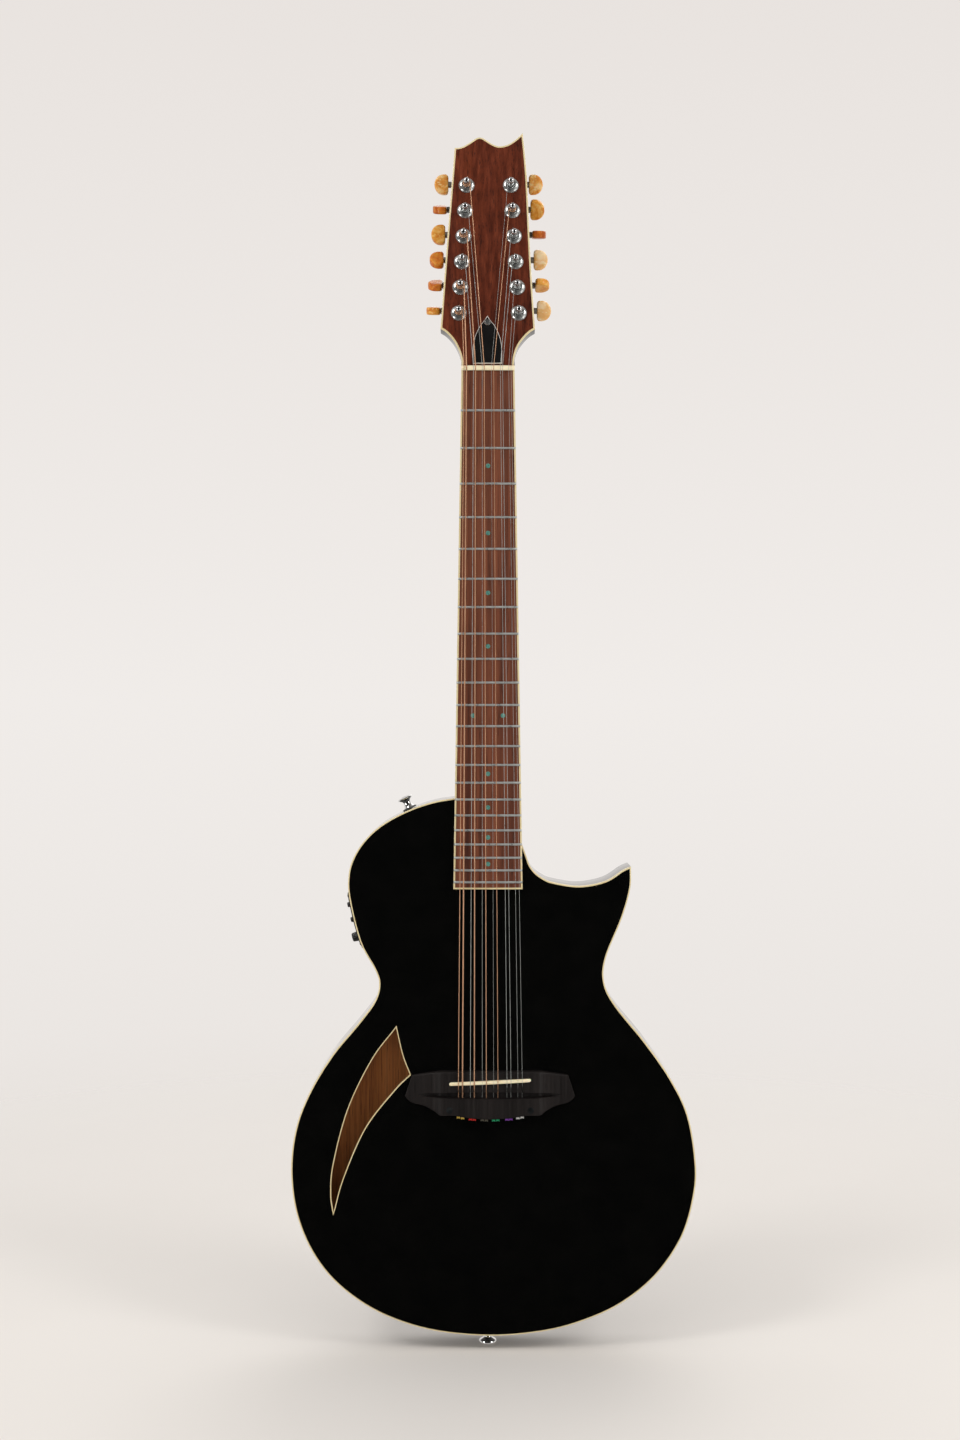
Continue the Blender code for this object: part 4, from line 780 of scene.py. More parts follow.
def piece(name, shape, finishes, place=Matrix.Identity(4), stands_for=(), body="root", sharp=32,
          object_frame=None, weld=True):
    """One named piece: its mesh, its finishes, the body it rides on and the nodes it stands for."""
    mesh = bpy.data.meshes.new(name)
    points = [tuple(place @ point * MM) for point in shape.points]
    mesh.from_pydata(points, [], [face[0] for face in shape.faces])
    for finish in finishes if isinstance(finishes, list) else [finishes]:
        mesh.materials.append(finish)
    mesh.polygons.foreach_set("material_index", [face[1] for face in shape.faces])
    if any(face[2] for face in shape.faces):
        layer = mesh.uv_layers.new(name="UVMap")
        for polygon, (_, _, unrolled) in zip(mesh.polygons, shape.faces):
            for corner, spot in zip(polygon.loop_indices, unrolled or ()):
                layer.data[corner].uv = spot
    work = bmesh.new()
    work.from_mesh(mesh)
    if weld:
        bmesh.ops.remove_doubles(work, verts=work.verts, dist=0.002 * MM)
        bmesh.ops.dissolve_degenerate(work, edges=work.edges, dist=0.0005 * MM)
    bmesh.ops.recalc_face_normals(work, faces=work.faces)
    work.to_mesh(mesh)
    work.free()
    mesh.shade_smooth()
    mesh.set_sharp_from_angle(angle=radians(sharp))
    return settled(bpy.data.objects.new(name, mesh), body, stands_for, object_frame)


def body_piece(name, shape, finishes, slot, *stands_for, sharp=32):
    """A piece whose shape is in the body's plan."""
    piece(name, shape, finishes, BODY_FRAME, stands_for, sharp=sharp)


def head_piece(name, shape, finishes, slot, *stands_for, place=Matrix.Identity(4)):
    """A piece whose shape is in the headstock's plan."""
    piece(name, shape, finishes, HEAD_FRAME @ place, stands_for)


# Body

def spread(loop, spacing):
    """Triangles over an outline with inner points a spacing apart, and how far each is from the edge."""
    gaps = np.linalg.norm(loop - np.roll(loop, 1, 0), axis=1)
    border = loop[gaps > 0.02]
    low, high = border.min(0), border.max(0)
    columns, rows = (np.arange(low[axis], high[axis], spacing) for axis in (0, 1))
    grid = np.array([(x, v) for x in columns for v in rows])
    grid = grid[inside(border, grid)]
    grid = grid[nearest(border, grid)[1] > spacing * 0.6]
    flat = [Vector(point) for point in (*border, *grid)]
    made = delaunay_2d_cdt(flat, [], [list(range(len(border)))], 1, 1e-5)
    points = np.array(made[0])
    return points, made[2], nearest(border, points)[1]


def body_shell():
    """Sides and back: lacquer outside, bare wood inside, with the linings that carry the top and the back."""
    ledge = FRONT - BINDING_DEPTH - CLEARANCE
    seat = BINDING_WIDTH + CLEARANCE
    rim = REAR + BACK_CROWN
    under_top = TOP_UNDERSIDE - 0.05
    deep = SIDE_THICKNESS + LINING
    outer = [(seat, ledge), (0, ledge), (0, rim + BACK_ROUND), *round_edge(BACK_ROUND, rim, 1, 6)[::-1]]
    inner = [
        (seat, ledge), (seat, under_top), (deep, under_top), (deep, under_top - 5),
        (SIDE_THICKNESS, under_top - 9), (SIDE_THICKNESS, BACK_INSIDE + 9), (deep, BACK_INSIDE + 4),
        (deep, BACK_INSIDE),
    ]
    shape = Shape()
    shape.rings(layers(OUTLINE, outer))
    rows = shape.rings(layers(OUTLINE, inner), paint=1)
    shape.cap(rows[-1], paint=1)
    points, faces, depths = spread(inset(OUTLINE, BACK_ROUND), 10)
    rise = 1 - (1 - np.clip(depths / 75, 0, 1)) ** 2
    numbers = shape.add_points([(x, v, rim - BACK_CROWN * share) for (x, v), share in zip(points, rise)])
    for face in faces:
        shape.add_face([numbers[corner] for corner in face])
    body_piece("body_shell", shape, [LACQUER, MAHOGANY], "black_lacquer", "body_rim", "back_plate")


def brace(name, start, end, height, near, far):
    """A brace with a rounded ridge and ends that taper into the plate it is glued to."""
    v = BODY_LOW + height
    half = BRACE_WIDTH / 2
    lifts = ((0, 0.15), (0.08, 0.4), (0.2, 0.85), (0.35, 1), (0.65, 1), (0.8, 0.85), (0.92, 0.4), (1, 0.15))
    rings = []
    for share, lift in lifts:
        x = start + (end - start) * share
        section = ((-1, 0), (-1, 0.6), (-0.6, 0.9), (0, 1), (0.6, 0.9), (1, 0.6), (1, 0))
        rings.append([(x, v + half * side, near + (far - near) * lift * up) for side, up in section])
    body_piece(name, loft(rings), SPRUCE, "black_lacquer")


def body():
    body_shell()
    hole = inset(CRESCENT, -(CRESCENT_RIM + CLEARANCE))
    top = slab(inset(OUTLINE, BINDING_WIDTH + CLEARANCE), [(0, FRONT), (0, TOP_UNDERSIDE)], [hole])
    body_piece("soundboard_top", top, LACQUER, "black_lacquer", "soundboard")
    soft = 0.7
    low = FRONT - BINDING_DEPTH
    section = [(BINDING_WIDTH, low), (BINDING_WIDTH, FRONT), *round_edge(soft, FRONT, -1, 4), (0, low)]
    body_piece("body_edge_binding", hoop(OUTLINE, section), CREAM, "cream_binding", "body_binding")
    lip = 0.35
    section = [(-CRESCENT_RIM, TOP_UNDERSIDE), (-CRESCENT_RIM, FRONT), (-lip, FRONT), (0, FRONT - lip),
               (0, TOP_UNDERSIDE)]
    body_piece("soundhole_rim", hoop(CRESCENT, section), CREAM, "cream_binding", "soundhole_binding")
    for name, *place in TOP_BRACES:
        brace("top_brace_" + name, *place, TOP_UNDERSIDE, TOP_UNDERSIDE - BRACE_HEIGHT)
    for name, *place in BACK_BRACES:
        brace("back_brace_" + name, *place, BACK_INSIDE, BACK_INSIDE + BRACE_HEIGHT)


# Fingerboard, frets and nut

BOARD_TOP = NUT_LOW - 0.02


def fingerboard():
    """The board with its cambered face, inside its binding."""
    end = BOARD_LOW + BOARD_EDGE
    rings = []
    for i in range(13):
        v = end + (BOARD_TOP - end) * i / 12
        half = board_half(v) - BOARD_EDGE
        across = [half - 2 * half * k / 12 for k in range(13)]
        rings.append([(half, v, BOARD_BASE), *((x, v, cambered(x, BOARD_FACE)) for x in across),
                      (-half, v, BOARD_BASE)])
    body_piece("rosewood_fingerboard", loft(rings), BOARD_WOOD, "fingerboard_wood", "fingerboard")


def board_binding():
    """The strip along both sides and the end of the fingerboard, with a softened outer edge."""
    low = board_half(BOARD_LOW)
    high = board_half(BOARD_TOP)
    path = [(-high, BOARD_TOP, 1, 0), (-low, BOARD_LOW, 1, 1)]
    path += [(-low + 2 * low * i / 12, BOARD_LOW, 0, 1) for i in range(1, 12)]
    path += [(low, BOARD_LOW, -1, 1), (high, BOARD_TOP, -1, 0)]
    soft = 0.5
    section = ((BOARD_EDGE, None), (0, None), (0, soft), (soft * 0.3, soft * 0.3), (soft, 0), (BOARD_EDGE, 0))
    rings = []
    for x, v, in_x, in_v in path:
        ring = []
        for distance, drop in section:
            px = x + in_x * distance
            w = BOARD_BASE if drop is None else cambered(px, BOARD_FACE) - drop
            ring.append((px, v + in_v * distance, w))
        rings.append(ring)
    body_piece("fingerboard_edge_binding", loft(rings), CREAM, "cream_binding", "fingerboard_binding")


def fret(name, v):
    """A half-round fret over the whole width of the neck, with its ends filed back."""
    half = board_half(v) - 0.05
    length = 2 * half - 2 * FRET_END
    stations = [(-half, 0.1), (-half + 0.45, 0.7), (-half + FRET_END, 1)]
    stations += [(-half + FRET_END + length * i / 14, 1) for i in range(1, 14)]
    stations += [(half - FRET_END, 1), (half - 0.45, 0.7), (half, 0.1)]
    reach = FRET_WIDTH / 2
    rings = []
    for x, rise in stations:
        face = cambered(x, BOARD_FACE)
        angles = [pi * i / 8 for i in range(9)]
        rings.append([(x, v + reach * cos(angle), face + FRET_HEIGHT * rise * sin(angle)) for angle in angles]
                     + [(x, v - reach, face - 0.3), (x, v + reach, face - 0.3)])
    body_piece(name, loft(rings), NICKEL, "plain_steel", sharp=50)


def frets_and_dots():
    heights = [NUT_LOW - SCALE_LENGTH * (1 - 2 ** (-n / 12)) for n in range(FRETS + 1)]
    disc = turned([(0, 0.05), (DOT_RADIUS * 0.9, 0.04), (DOT_RADIUS, 0), (DOT_RADIUS, -0.6), (0, -0.6)], 32)
    side_disc = turned([(0, 0.02), (SIDE_DOT_RADIUS, 0.01), (SIDE_DOT_RADIUS, -0.3), (0, -0.3)], 20)
    for number in range(1, FRETS + 1):
        fret(f"fret_{number:02d}", heights[number])
    for number in DOT_FRETS:
        v = (heights[number] + heights[number - 1]) / 2
        places = (-DOUBLE_DOT, DOUBLE_DOT) if number == 12 else (0,)
        for k, x in enumerate(places):
            lean = Matrix.Rotation(x / CAMBER, 4, "Y")
            place = BODY_FRAME @ Matrix.Translation((x, v, cambered(x, BOARD_FACE) + 0.02)) @ lean
            piece(f"inlay_dot_{number:02d}_{k + 1}", disc, ABALONE, place)
        for k in range(len(places)):
            shift = (k - (len(places) - 1) / 2) * SIDE_DOT_SPACING
            spot = (-board_half(v), SIDE_DOT_DEPTH - BOARD_FACE, v + shift)
            place = Matrix.Translation(spot) @ Matrix.Rotation(-pi / 2, 4, "Y")
            piece(f"side_dot_{number:02d}_{k + 1}", side_disc, GLOSS_PLASTIC, place)


def string_radius(number):
    return STRINGS[number][0] / 2


def nut_string_height(number):
    """Height of a string's middle where it lies in the nut."""
    return cambered(STRINGS[number][1], NUT_FACE + 0.15)


def round_drop(share, size):
    """How far a quarter-round edge falls at a share of its width from its outer end."""
    return size * (1 - sqrt(max(0, 1 - (1 - share) ** 2)))


def nut():
    """The nut, with a round-bottomed slot for each string and its top sloped to the headstock."""
    slots = [(string[1], string_radius(number) + CLEARANCE, number) for number, string in enumerate(STRINGS)]
    spots = set(np.linspace(-NUT_HALF, NUT_HALF, 33))
    for middle, wide, _ in slots:
        spots.update(middle - wide * cos(pi * i / 8) for i in range(9))
        spots.update((middle - wide * 1.03, middle + wide * 1.03))
    rings = []
    for x in sorted(spots):
        top = cambered(x, NUT_FACE + 0.25) - round_drop(min(NUT_HALF - abs(x), 0.8) / 0.8, 0.5)
        for middle, wide, number in slots:
            away = abs(x - middle)
            if away <= wide * 1.0001:
                top = min(top, nut_string_height(number) - sqrt(max(0, wide ** 2 - away ** 2)))
        back = min(top, cambered(x, NUT_FACE - 0.9))
        rings.append([
            (x, NUT_LOW, BOARD_BASE), (x, NUT_LOW, top - 0.35), (x, NUT_LOW + 0.15, top - 0.1),
            (x, NUT_LOW + 0.45, top), (x, NUT_LOW + 2, top), (x, NUT_HIGH - 0.8, (top + back) / 2),
            (x, NUT_HIGH - 0.2, back), (x, NUT_HIGH, back - 0.4), (x, NUT_HIGH, BOARD_BASE),
        ])
    body_piece("bone_nut", loft(rings), BONE, "bone", "nut", sharp=45)


# Bridge and strings

BRIDGE_LOW = SADDLE_MIDDLE.z - BRIDGE_TO_SADDLE
BRIDGE_REAR = [(point.x, BRIDGE_LOW + point.y) for point in smooth(BRIDGE_REAR_SIDE, 6)]
BRIDGE_FRONT = [(x, BRIDGE_LOW + v) for x, v in BRIDGE_FRONT_SIDE]
GROOVE_V = SADDLE_MIDDLE.z - GROOVE_TO_SADDLE
HOLE_W = BOARD_BASE + STRING_HOLE_HEIGHT


def along_line(line, across):
    """The second value of a line of pairs at a distance from the bridge's middle."""
    return float(np.interp(abs(across), *zip(*line)))


def saddle_v(x):
    return SADDLE_MIDDLE.z + tan(SADDLE_SLANT) * (x - BRIDGE_X)


def saddle_string_height(number):
    return cambered(STRINGS[number][2] - BRIDGE_X, SADDLE_FACE) + string_radius(number) * 0.75


def bridge_columns():
    """Distances from the bridge's middle at which its surface is worked out."""
    spots = set(np.linspace(-74, 74, 75))
    outer = (77.2, 77.1, 76.8, 76.2, 75.4, 74.7, 73, 72, 71, 62.5, 61.8, 60.5, 59, 54, 50, 47, 45.2, 44.6)
    for side in (-1, 1):
        spots.update(side * across for across in outer)
        spots.update(side * GROOVE_REACH * share for share in (0.985, 0.95, 0.9))
    for number, (_, _, saddle_x) in enumerate(STRINGS):
        wide = string_radius(number) + RAMP_ROOM
        spots.update(saddle_x - BRIDGE_X - wide * cos(pi * i / 6) for i in range(7))
    return sorted(spots)


def ramp_floor(x, v):
    """Height of the floor of the string ramps between the groove and the saddle, or none."""
    for number, (_, _, saddle_x) in enumerate(STRINGS):
        wide = string_radius(number) + RAMP_ROOM
        away = abs(x - saddle_x)
        if away < wide * 0.999:
            share = (v - GROOVE_V) / (saddle_v(x) - GROOVE_V)
            middle = HOLE_W + (saddle_string_height(number) - HOLE_W) * share
            return middle - sqrt(wide ** 2 - away ** 2)
    return inf


def bridge_ring(across):
    """The bridge's outline in a plane across the strings' ends, from its rear base to its front base."""
    x = BRIDGE_X + across
    rear, front = along_line(BRIDGE_REAR, across), along_line(BRIDGE_FRONT, across)
    height = along_line(BRIDGE_SLOPE, across)
    soft = min(BRIDGE_EDGE, (front - rear) * 0.3, height * 0.5)
    top = BOARD_BASE + height
    share = max(0, 1 - (across / GROOVE_REACH) ** 2)
    half = min(GROOVE_HALF_WIDTH * sqrt(share) + 0.01, (front - rear) * 0.2)
    middle = min(max(GROOVE_V, rear + soft + half * 2), front - soft - half * 2)
    depth = min(GROOVE_DEPTH, height - 1.6) * min(1, share * 4)
    angles = [pi / 2 * i / 4 for i in range(5)]
    ring = [(x, rear, BOARD_BASE)]
    ring += [(x, rear + soft * (1 - cos(angle)), top - soft * (1 - sin(angle))) for angle in angles]
    start, stop = rear + soft, middle - half
    ring += [(x, start + (stop - start) * i / 4, top) for i in range(1, 5)]
    for i in range(1, 10):
        reach = -cos(pi * i / 10)
        ring.append((x, middle + half * reach, top - depth * sqrt(max(0, 1 - reach ** 4))))
    start, stop = middle + half, front - soft
    for i in range(13):
        v = start + (stop - start) * i / 13
        ring.append((x, v, min(top, ramp_floor(x, v)) if v < saddle_v(x) else top))
    ring += [(x, stop + soft * sin(angle), top - soft * (1 - cos(angle))) for angle in angles]
    return ring + [(x, front, BOARD_BASE)]


def bridge():
    shape = loft([bridge_ring(across) for across in bridge_columns()])
    body_piece("carved_bridge", shape, BRIDGE_WOOD, "bridge_wood", "bridge", sharp=24)
    rim = CAP_DOT_RADIUS
    cap = turned([(0, 0.28), (rim * 0.7, 0.22), (rim, 0.03), (rim, -1), (0, -1)], 36)
    for k, across in enumerate((-CAP_DOT_ACROSS, CAP_DOT_ACROSS)):
        top = BOARD_BASE + along_line(BRIDGE_SLOPE, across)
        spot = (BRIDGE_X + across, SADDLE_MIDDLE.z - CAP_DOT_DOWN, top)
        piece(f"bridge_cap_{k + 1}", cap, DARK_PEARL, BODY_FRAME @ Matrix.Translation(spot))


def saddle():
    """The slanted saddle: a rounded crown on a curve to match the strings, with round ends."""
    half, thick = SADDLE_LENGTH / 2, SADDLE_THICKNESS / 2
    stations = [half * sin(pi / 2 * i / 16) for i in range(-16, 17)]
    stations += [side * (half - thick * share) for side in (-1, 1) for share in (0.08, 0.25, 0.5, 0.75, 1)]
    rings = []
    for t in sorted(stations):
        end = min(1, (half - abs(t)) / thick)
        wide = max(thick - round_drop(end, thick), 0.05)
        x = BRIDGE_X + t * cos(SADDLE_SLANT)
        v = SADDLE_MIDDLE.z + t * sin(SADDLE_SLANT)
        top = cambered(x - BRIDGE_X, SADDLE_FACE) - round_drop(end, 0.5)
        angles = [pi * i / 8 for i in range(9)]
        crown = [(x, v - wide * cos(angle), top - 1.2 * (1 - sin(angle) ** 0.8)) for angle in angles]
        rings.append([(x, v - wide, SADDLE_BASE), *crown, (x, v + wide, SADDLE_BASE)])
    body_piece("bone_saddle", loft(rings), BONE, "bone", "saddle", sharp=50)


def post_place(index, side):
    share = index / (TUNERS_PER_SIDE - 1)
    out = POST_SPREAD[0] + (POST_SPREAD[1] - POST_SPREAD[0]) * share
    return POST_CENTRE_X + side * out, FIRST_POST + index * POST_SPACING


def winding(number, start):
    """Points on the headstock: round the post from its inner side, rising to its hole, through it and out."""
    side = -1 if number < TUNERS_PER_SIDE else 1
    index = number if side < 0 else 2 * TUNERS_PER_SIDE - 1 - number
    x, v = post_place(index, side)
    radius = string_radius(number)
    reach = POST_RADIUS - 0.15 + radius
    lean = atan2(side * (x - side * reach - start[0]), v - start[1])

    def round_post(out, angle, w):
        return Vector((x - side * out * cos(angle), v + out * sin(angle), w))

    points = []
    for i in range(int(TURN_POINTS * (STRING_TURNS + 0.68)) + 1):
        angle = 2 * pi * i / TURN_POINTS - lean
        w = WINDING_START + radius + (2 * radius + TURN_GAP) * i / TURN_POINTS
        points.append(round_post(reach, angle, w))
    rise = STRING_HOLE_ON_POST - points[-1].z
    for share in (0.35, 0.8):
        angle += 0.16
        points.append(round_post(reach * (1 - 0.12 * share), angle, STRING_HOLE_ON_POST - rise * (1 - share)))
    middle = Vector((x, v, STRING_HOLE_ON_POST))
    inward = middle - points[-1]
    inward.z = 0
    inward.normalize()
    return points + [middle - inward * POST_RADIUS * 0.6, middle, middle + inward * (POST_RADIUS + 1.6)]


def string_line(number):
    """Points of a string in the world from its ball end to its cut end."""
    _, nut_x, saddle_x = STRINGS[number]
    rear = along_line(BRIDGE_REAR, saddle_x - BRIDGE_X)
    over = saddle_string_height(number)
    nut_w = nut_string_height(number)
    crest = saddle_v(saddle_x)
    behind = (
        (rear - 1.4, HOLE_W), (rear + 1, HOLE_W), (GROOVE_V, HOLE_W), (GROOVE_V + 0.9, HOLE_W + 0.4),
        (crest - 1.5, over - 0.62), (crest - 0.7, over - 0.13), (crest, over), (crest + 1, over),
    )
    over_nut = ((NUT_LOW, nut_w), (NUT_LOW + 1.8, nut_w), (NUT_HIGH - 1.2, nut_w - 0.18))
    plan = [(saddle_x, v, w) for v, w in behind] + [(nut_x, v, w) for v, w in over_nut]
    world = [BODY_FRAME @ Vector(point) for point in plan]
    leave = HEAD_FRAME.inverted() @ world[-1]
    return world + [HEAD_FRAME @ point for point in winding(number, leave)]


def strings():
    """The strings with their ball ends, which are barrels on their own axis."""
    half = [(0.45, 1.5), (1.25, 1.5), (1.25, 0.95), (0.9, 0.75)]
    profile = half + [(0.825, 0)] + [(radius, -height) for radius, height in reversed(half)] + [half[0]]
    barrel = turned(profile, 24)
    for number in range(len(STRINGS)):
        points = string_line(number)
        label = f"{number + 1:02d}"
        piece(f"strung_string_{label}", swept(points, string_radius(number)), WOUND.get(number, STEEL),
              stands_for=(f"string_{label}",), sharp=60, weld=False)
        place = Matrix.Translation(points[0]) @ Matrix.Rotation(pi / 2, 4, "Y")
        piece(f"ball_end_{label}", barrel, BALL_FINISHES[number // 2], place)


# Neck and headstock

def neck_section(v, half, rear, power, steps=36):
    """A flat-topped section of the neck with a rounded back down to w = rear."""
    points = []
    for i in range(steps + 1):
        angle = pi * i / steps
        across = copysign(abs(cos(angle)) ** (2 / power), cos(angle))
        points.append((half * across, v, FRONT - (FRONT - rear) * sin(angle) ** (2 / power)))
    return points


def neck():
    """Heel, shaft and the root that runs into the headstock."""
    shaft_rear = FRONT - NECK_DEPTH_AT_HEEL
    nut_rear = FRONT - NECK_DEPTH_AT_NUT
    rings = []
    for share, depth, power in smooth(HEEL_SECTIONS, 5):
        v = BODY_HIGH + 0.05 + HEEL_LENGTH * share
        rear = shaft_rear + (NECK_DEPTH_AT_HEEL - HEEL_DEPTH) * max(0, depth)
        rings.append(neck_section(v, board_half(v), rear, power))
    rings.append(neck_section(NUT_LOW - 25, board_half(NUT_LOW - 25), nut_rear, 2.1))
    rings.append(neck_section(NUT_LOW, NUT_HALF, nut_rear + 0.3, 2.2))
    slope = tan(HEAD_TILT)
    for ahead, narrow, power in ((2, 0, 2.4), (6, 0.2, 2.7), (10, 0.5, 3), (15, 1, 3.2)):
        rear = HEAD_W - HEAD_THICKNESS - slope * ahead - (1.6 - ahead * 0.12)
        cut = HEAD_W - VENEER - 0.4 - slope * ahead
        ring = neck_section(HEAD_Z + ahead, NUT_HALF - narrow, rear, power)
        rings.append([(x, v, min(w, cut)) for x, v, w in ring])
    body_piece("neck_shaft", loft(rings), LACQUER, "black_lacquer", "neck", sharp=40)
    core = slab(HEAD_OUTLINE, [(0, -VENEER)] + round_edge(1.6, -HEAD_THICKNESS, 1, 5)[::-1])
    head_piece("headstock_core", core, LACQUER, "black_lacquer")


def head_line(distance):
    """The headstock's outline moved inward, open along the nut, from the bass side to the treble side."""
    line = inset(HEAD_OUTLINE, distance)[:1 - HEAD_STEPS].copy()
    line[[0, -1], 1] = 0
    return line


def headstock_face():
    veneer = slab(head_line(HEAD_BINDING), [(0, 0), (0, -VENEER)])
    head_piece("headstock_veneer", veneer, FACE_WOOD, "rosewood_face", "headstock_faceplate")
    soft = 0.5
    section = ((HEAD_BINDING, -VENEER), (HEAD_BINDING, 0), (soft, 0), (soft * 0.3, -soft * 0.3), (0, -soft),
               (0, -VENEER))
    shape = Shape()
    rings = [[(x, v, w) for x, v in head_line(distance)] for distance, w in section]
    rows = shape.rings(rings, around=False, along=True)
    for end in (0, -1):
        shape.add_face([row[end] for row in rows])
    head_piece("headstock_edge_binding", shape, CREAM, "cream_binding")


def rod_cover():
    """The bell-shaped cover: a black plate with a pale line round its bevelled edge, and its screw."""
    line = smooth(COVER_SHAPE, 6)
    half = [(point.x * COVER_HALF_WIDTH, COVER_START + point.y * COVER_LENGTH) for point in line]
    loop = np.array([(COVER_X + x, v) for x, v in half] + [(COVER_X - x, v) for x, v in reversed(half[1:])])
    edge = slab(loop, [(0.3, COVER_TOP - 0.45), (0, COVER_TOP - 0.8), (0, 0.05)])
    head_piece("cover_edge_line", edge, WHITE_PLASTIC, "black_plastic")
    plate = slab(inset(loop, COVER_LINE), [(0.3, COVER_TOP), (0, COVER_TOP - 0.25), (0, COVER_TOP - 0.6)])
    head_piece("rod_cover", plate, GLOSS_PLASTIC, "black_plastic", "truss_rod_cover")
    place = Matrix.Translation((COVER_X, COVER_START + COVER_LENGTH * 0.86, COVER_TOP - 0.05))
    head_piece("cover_screw", screw_head(3, 1.3), SATIN_CHROME, "chrome", place=place)


# Tuners

def post_shape():
    """A post with a domed top and a waist for the string, down to its wheel."""
    top = ((0, 0), (0.9, 0.08), (1.75, 0.4), (2.4, 0.95), (2.78, 1.7), (2.9, 2.5), (2.9, 3.4), (2.72, 3.8),
           (2.66, 5.5))
    foot = -GEAR_DEPTH - WHEEL_THICKNESS
    return turned([
        *((radius, POST_HEIGHT - drop) for radius, drop in top),
        (2.66, 3.5), (2.9, 2.9), (2.9, foot + 0.3), (2.6, foot), (0, foot),
    ], 40)


def bushing_shape():
    return turned([
        (3.15, -1.5), (3.15, 2.0), (3.35, 2.25), (3.9, 2.3), (4.7, 2.15), (5.7, 1.75), (6.6, 1.15),
        (7.15, 0.6), (7.38, 0.25), (BUSHING_RADIUS, 0.02), (BUSHING_RADIUS, -0.4), (3.15, -1.5),
    ], 48)


def wheel_shape():
    """The worm wheel: fourteen round-topped teeth on a disc."""
    teeth = 14
    loop = []
    for x, y in circle(1, teeth * 8):
        wave = max(0, 0.5 + 0.5 * cos(teeth * atan2(y, x)))
        radius = WHEEL_RADIUS - 0.9 * (1 - wave ** 0.6)
        loop.append((radius * x, radius * y))
    half = WHEEL_THICKNESS / 2
    return soft_slab(np.array(loop), half - GEAR_DEPTH, -half - GEAR_DEPTH, 0.25, 2)


def key_shaft_shape():
    """The key's worm with its helical thread, its shaft and the dark collar at the button, on +X."""
    sides = 28
    worm_half, pitch = 5, 2.5
    angles = [2 * pi * k / sides for k in range(sides)]
    worm = []
    for i in range(49):
        x = -worm_half + 2 * worm_half * i / 48
        fade = min(1, worm_half - abs(x))
        waves = [0.5 + 0.5 * cos(angle - 2 * pi * x / pitch) for angle in angles]
        radii = [2.2 + 0.9 * wave * fade for wave in waves]
        worm.append([(x, radius * cos(angle), radius * sin(angle)) for radius, angle in zip(radii, angles)])
    neck_x = KEY_REACH - 2.9
    shaft = ((worm_half, 2.2), (worm_half + 0.1, 1.6), (neck_x, 1.6))
    collar = ((neck_x, 1.6), (neck_x + 0.1, 2.5), (neck_x + 0.4, 2.9), (KEY_REACH - 0.6, 2.9),
              (KEY_REACH + 0.4, 2.6))
    shape = Shape()
    rows = shape.rings(worm)
    shape.add_face(rows[0])
    for profile, paint in ((shaft, 0), (collar, 1)):
        rings = [[(x, a, b) for a, b in circle(radius, sides)] for x, radius in profile]
        rows = shape.rings(rings, paint=paint)
    shape.add_face(rows[-1], 1)
    return shape


def button_shape():
    """A half-round button: flat towards the headstock, round outward, with soft edges and full faces."""
    half = BUTTON_HEIGHT / 2
    corner = 2.6
    tall = corner * 1.4
    middle = 4.6
    outline = []
    for i in range(25):
        angle = -pi / 2 + pi * i / 24
        outline.append((middle + (BUTTON_LENGTH - middle) * cos(angle), half * sin(angle)))
    for quarter, base in ((1, half - tall), (2, tall - half)):
        for i in range(9):
            angle = pi / 2 * (quarter + i / 8)
            outline.append((corner + corner * cos(angle), base + tall * sin(angle)))
    centre = 6.2
    face = ((0, 1), (0.5, 1), (0.74, 0.99), (0.86, 0.955), (0.93, 0.88), (0.972, 0.76), (0.993, 0.6),
            (1, 0.4))
    profile = [(share, lift * BUTTON_THICKNESS / 2) for share, lift in face]
    profile += [(share, -lift) for share, lift in reversed(profile)]
    shape = Shape()
    rings = tapered([(x - centre, y) for x, y in outline], profile)
    shape.rings([[(KEY_REACH + centre + x, y, z) for x, y, z in ring] for ring in rings])
    return shape


def tuners():
    """Post, bushing, worm wheel, key and button of every tuner. One mesh of each kind serves them all."""
    first = {}
    for side, label in SIDE_NAMES.items():
        for index in range(TUNERS_PER_SIDE):
            tuner(side, index, f"{label}_{index + 1}", first)


def tuner(side, index, label, first):
    x, v = post_place(index, side)
    post_frame = HEAD_FRAME @ Matrix.Translation((x, v, 0))
    outward = Matrix.Rotation(pi if side < 0 else 0, 4, "Z")
    turn = Matrix.Rotation(radians(90 - KEY_ANGLES[side][index]), 4, "X")
    key_frame = HEAD_FRAME @ Matrix.Translation((x, v + KEY_OFFSET, -GEAR_DEPTH)) @ outward @ turn
    post, key = f"post_{label}", f"key_{label}"
    button = BUTTON_FINISHES[side][index]
    parts = (
        ("post", post_shape, [CHROME], "chrome", post, post_frame, (f"string_post_{label}",)),
        ("bushing", bushing_shape, [SATIN_CHROME], "chrome", "root", post_frame, ()),
        ("worm_wheel", wheel_shape, [GEAR_BRONZE], "dark_metal", post, post_frame, ()),
        ("key_shaft", key_shaft_shape, [CHROME, DARK_METAL], "chrome", key, key_frame,
         (f"tuner_key_{label}",)),
        ("key_button", button_shape, [button], "key_button", key, key_frame, ()),
    )
    for kind, build, finishes, slot, body_name, place, stands_for in parts:
        name = f"{kind}_{label}"
        if kind not in first:
            first[kind] = piece(name, build(), finishes, stands_for=stands_for, body=body_name,
                                sharp=50, object_frame=place)
            continue
        made = settled(bpy.data.objects.new(name, first[kind].data), body_name, stands_for, place)
        if kind == "key_button":
            made.material_slots[0].link = "OBJECT"
            made.material_slots[0].material = button


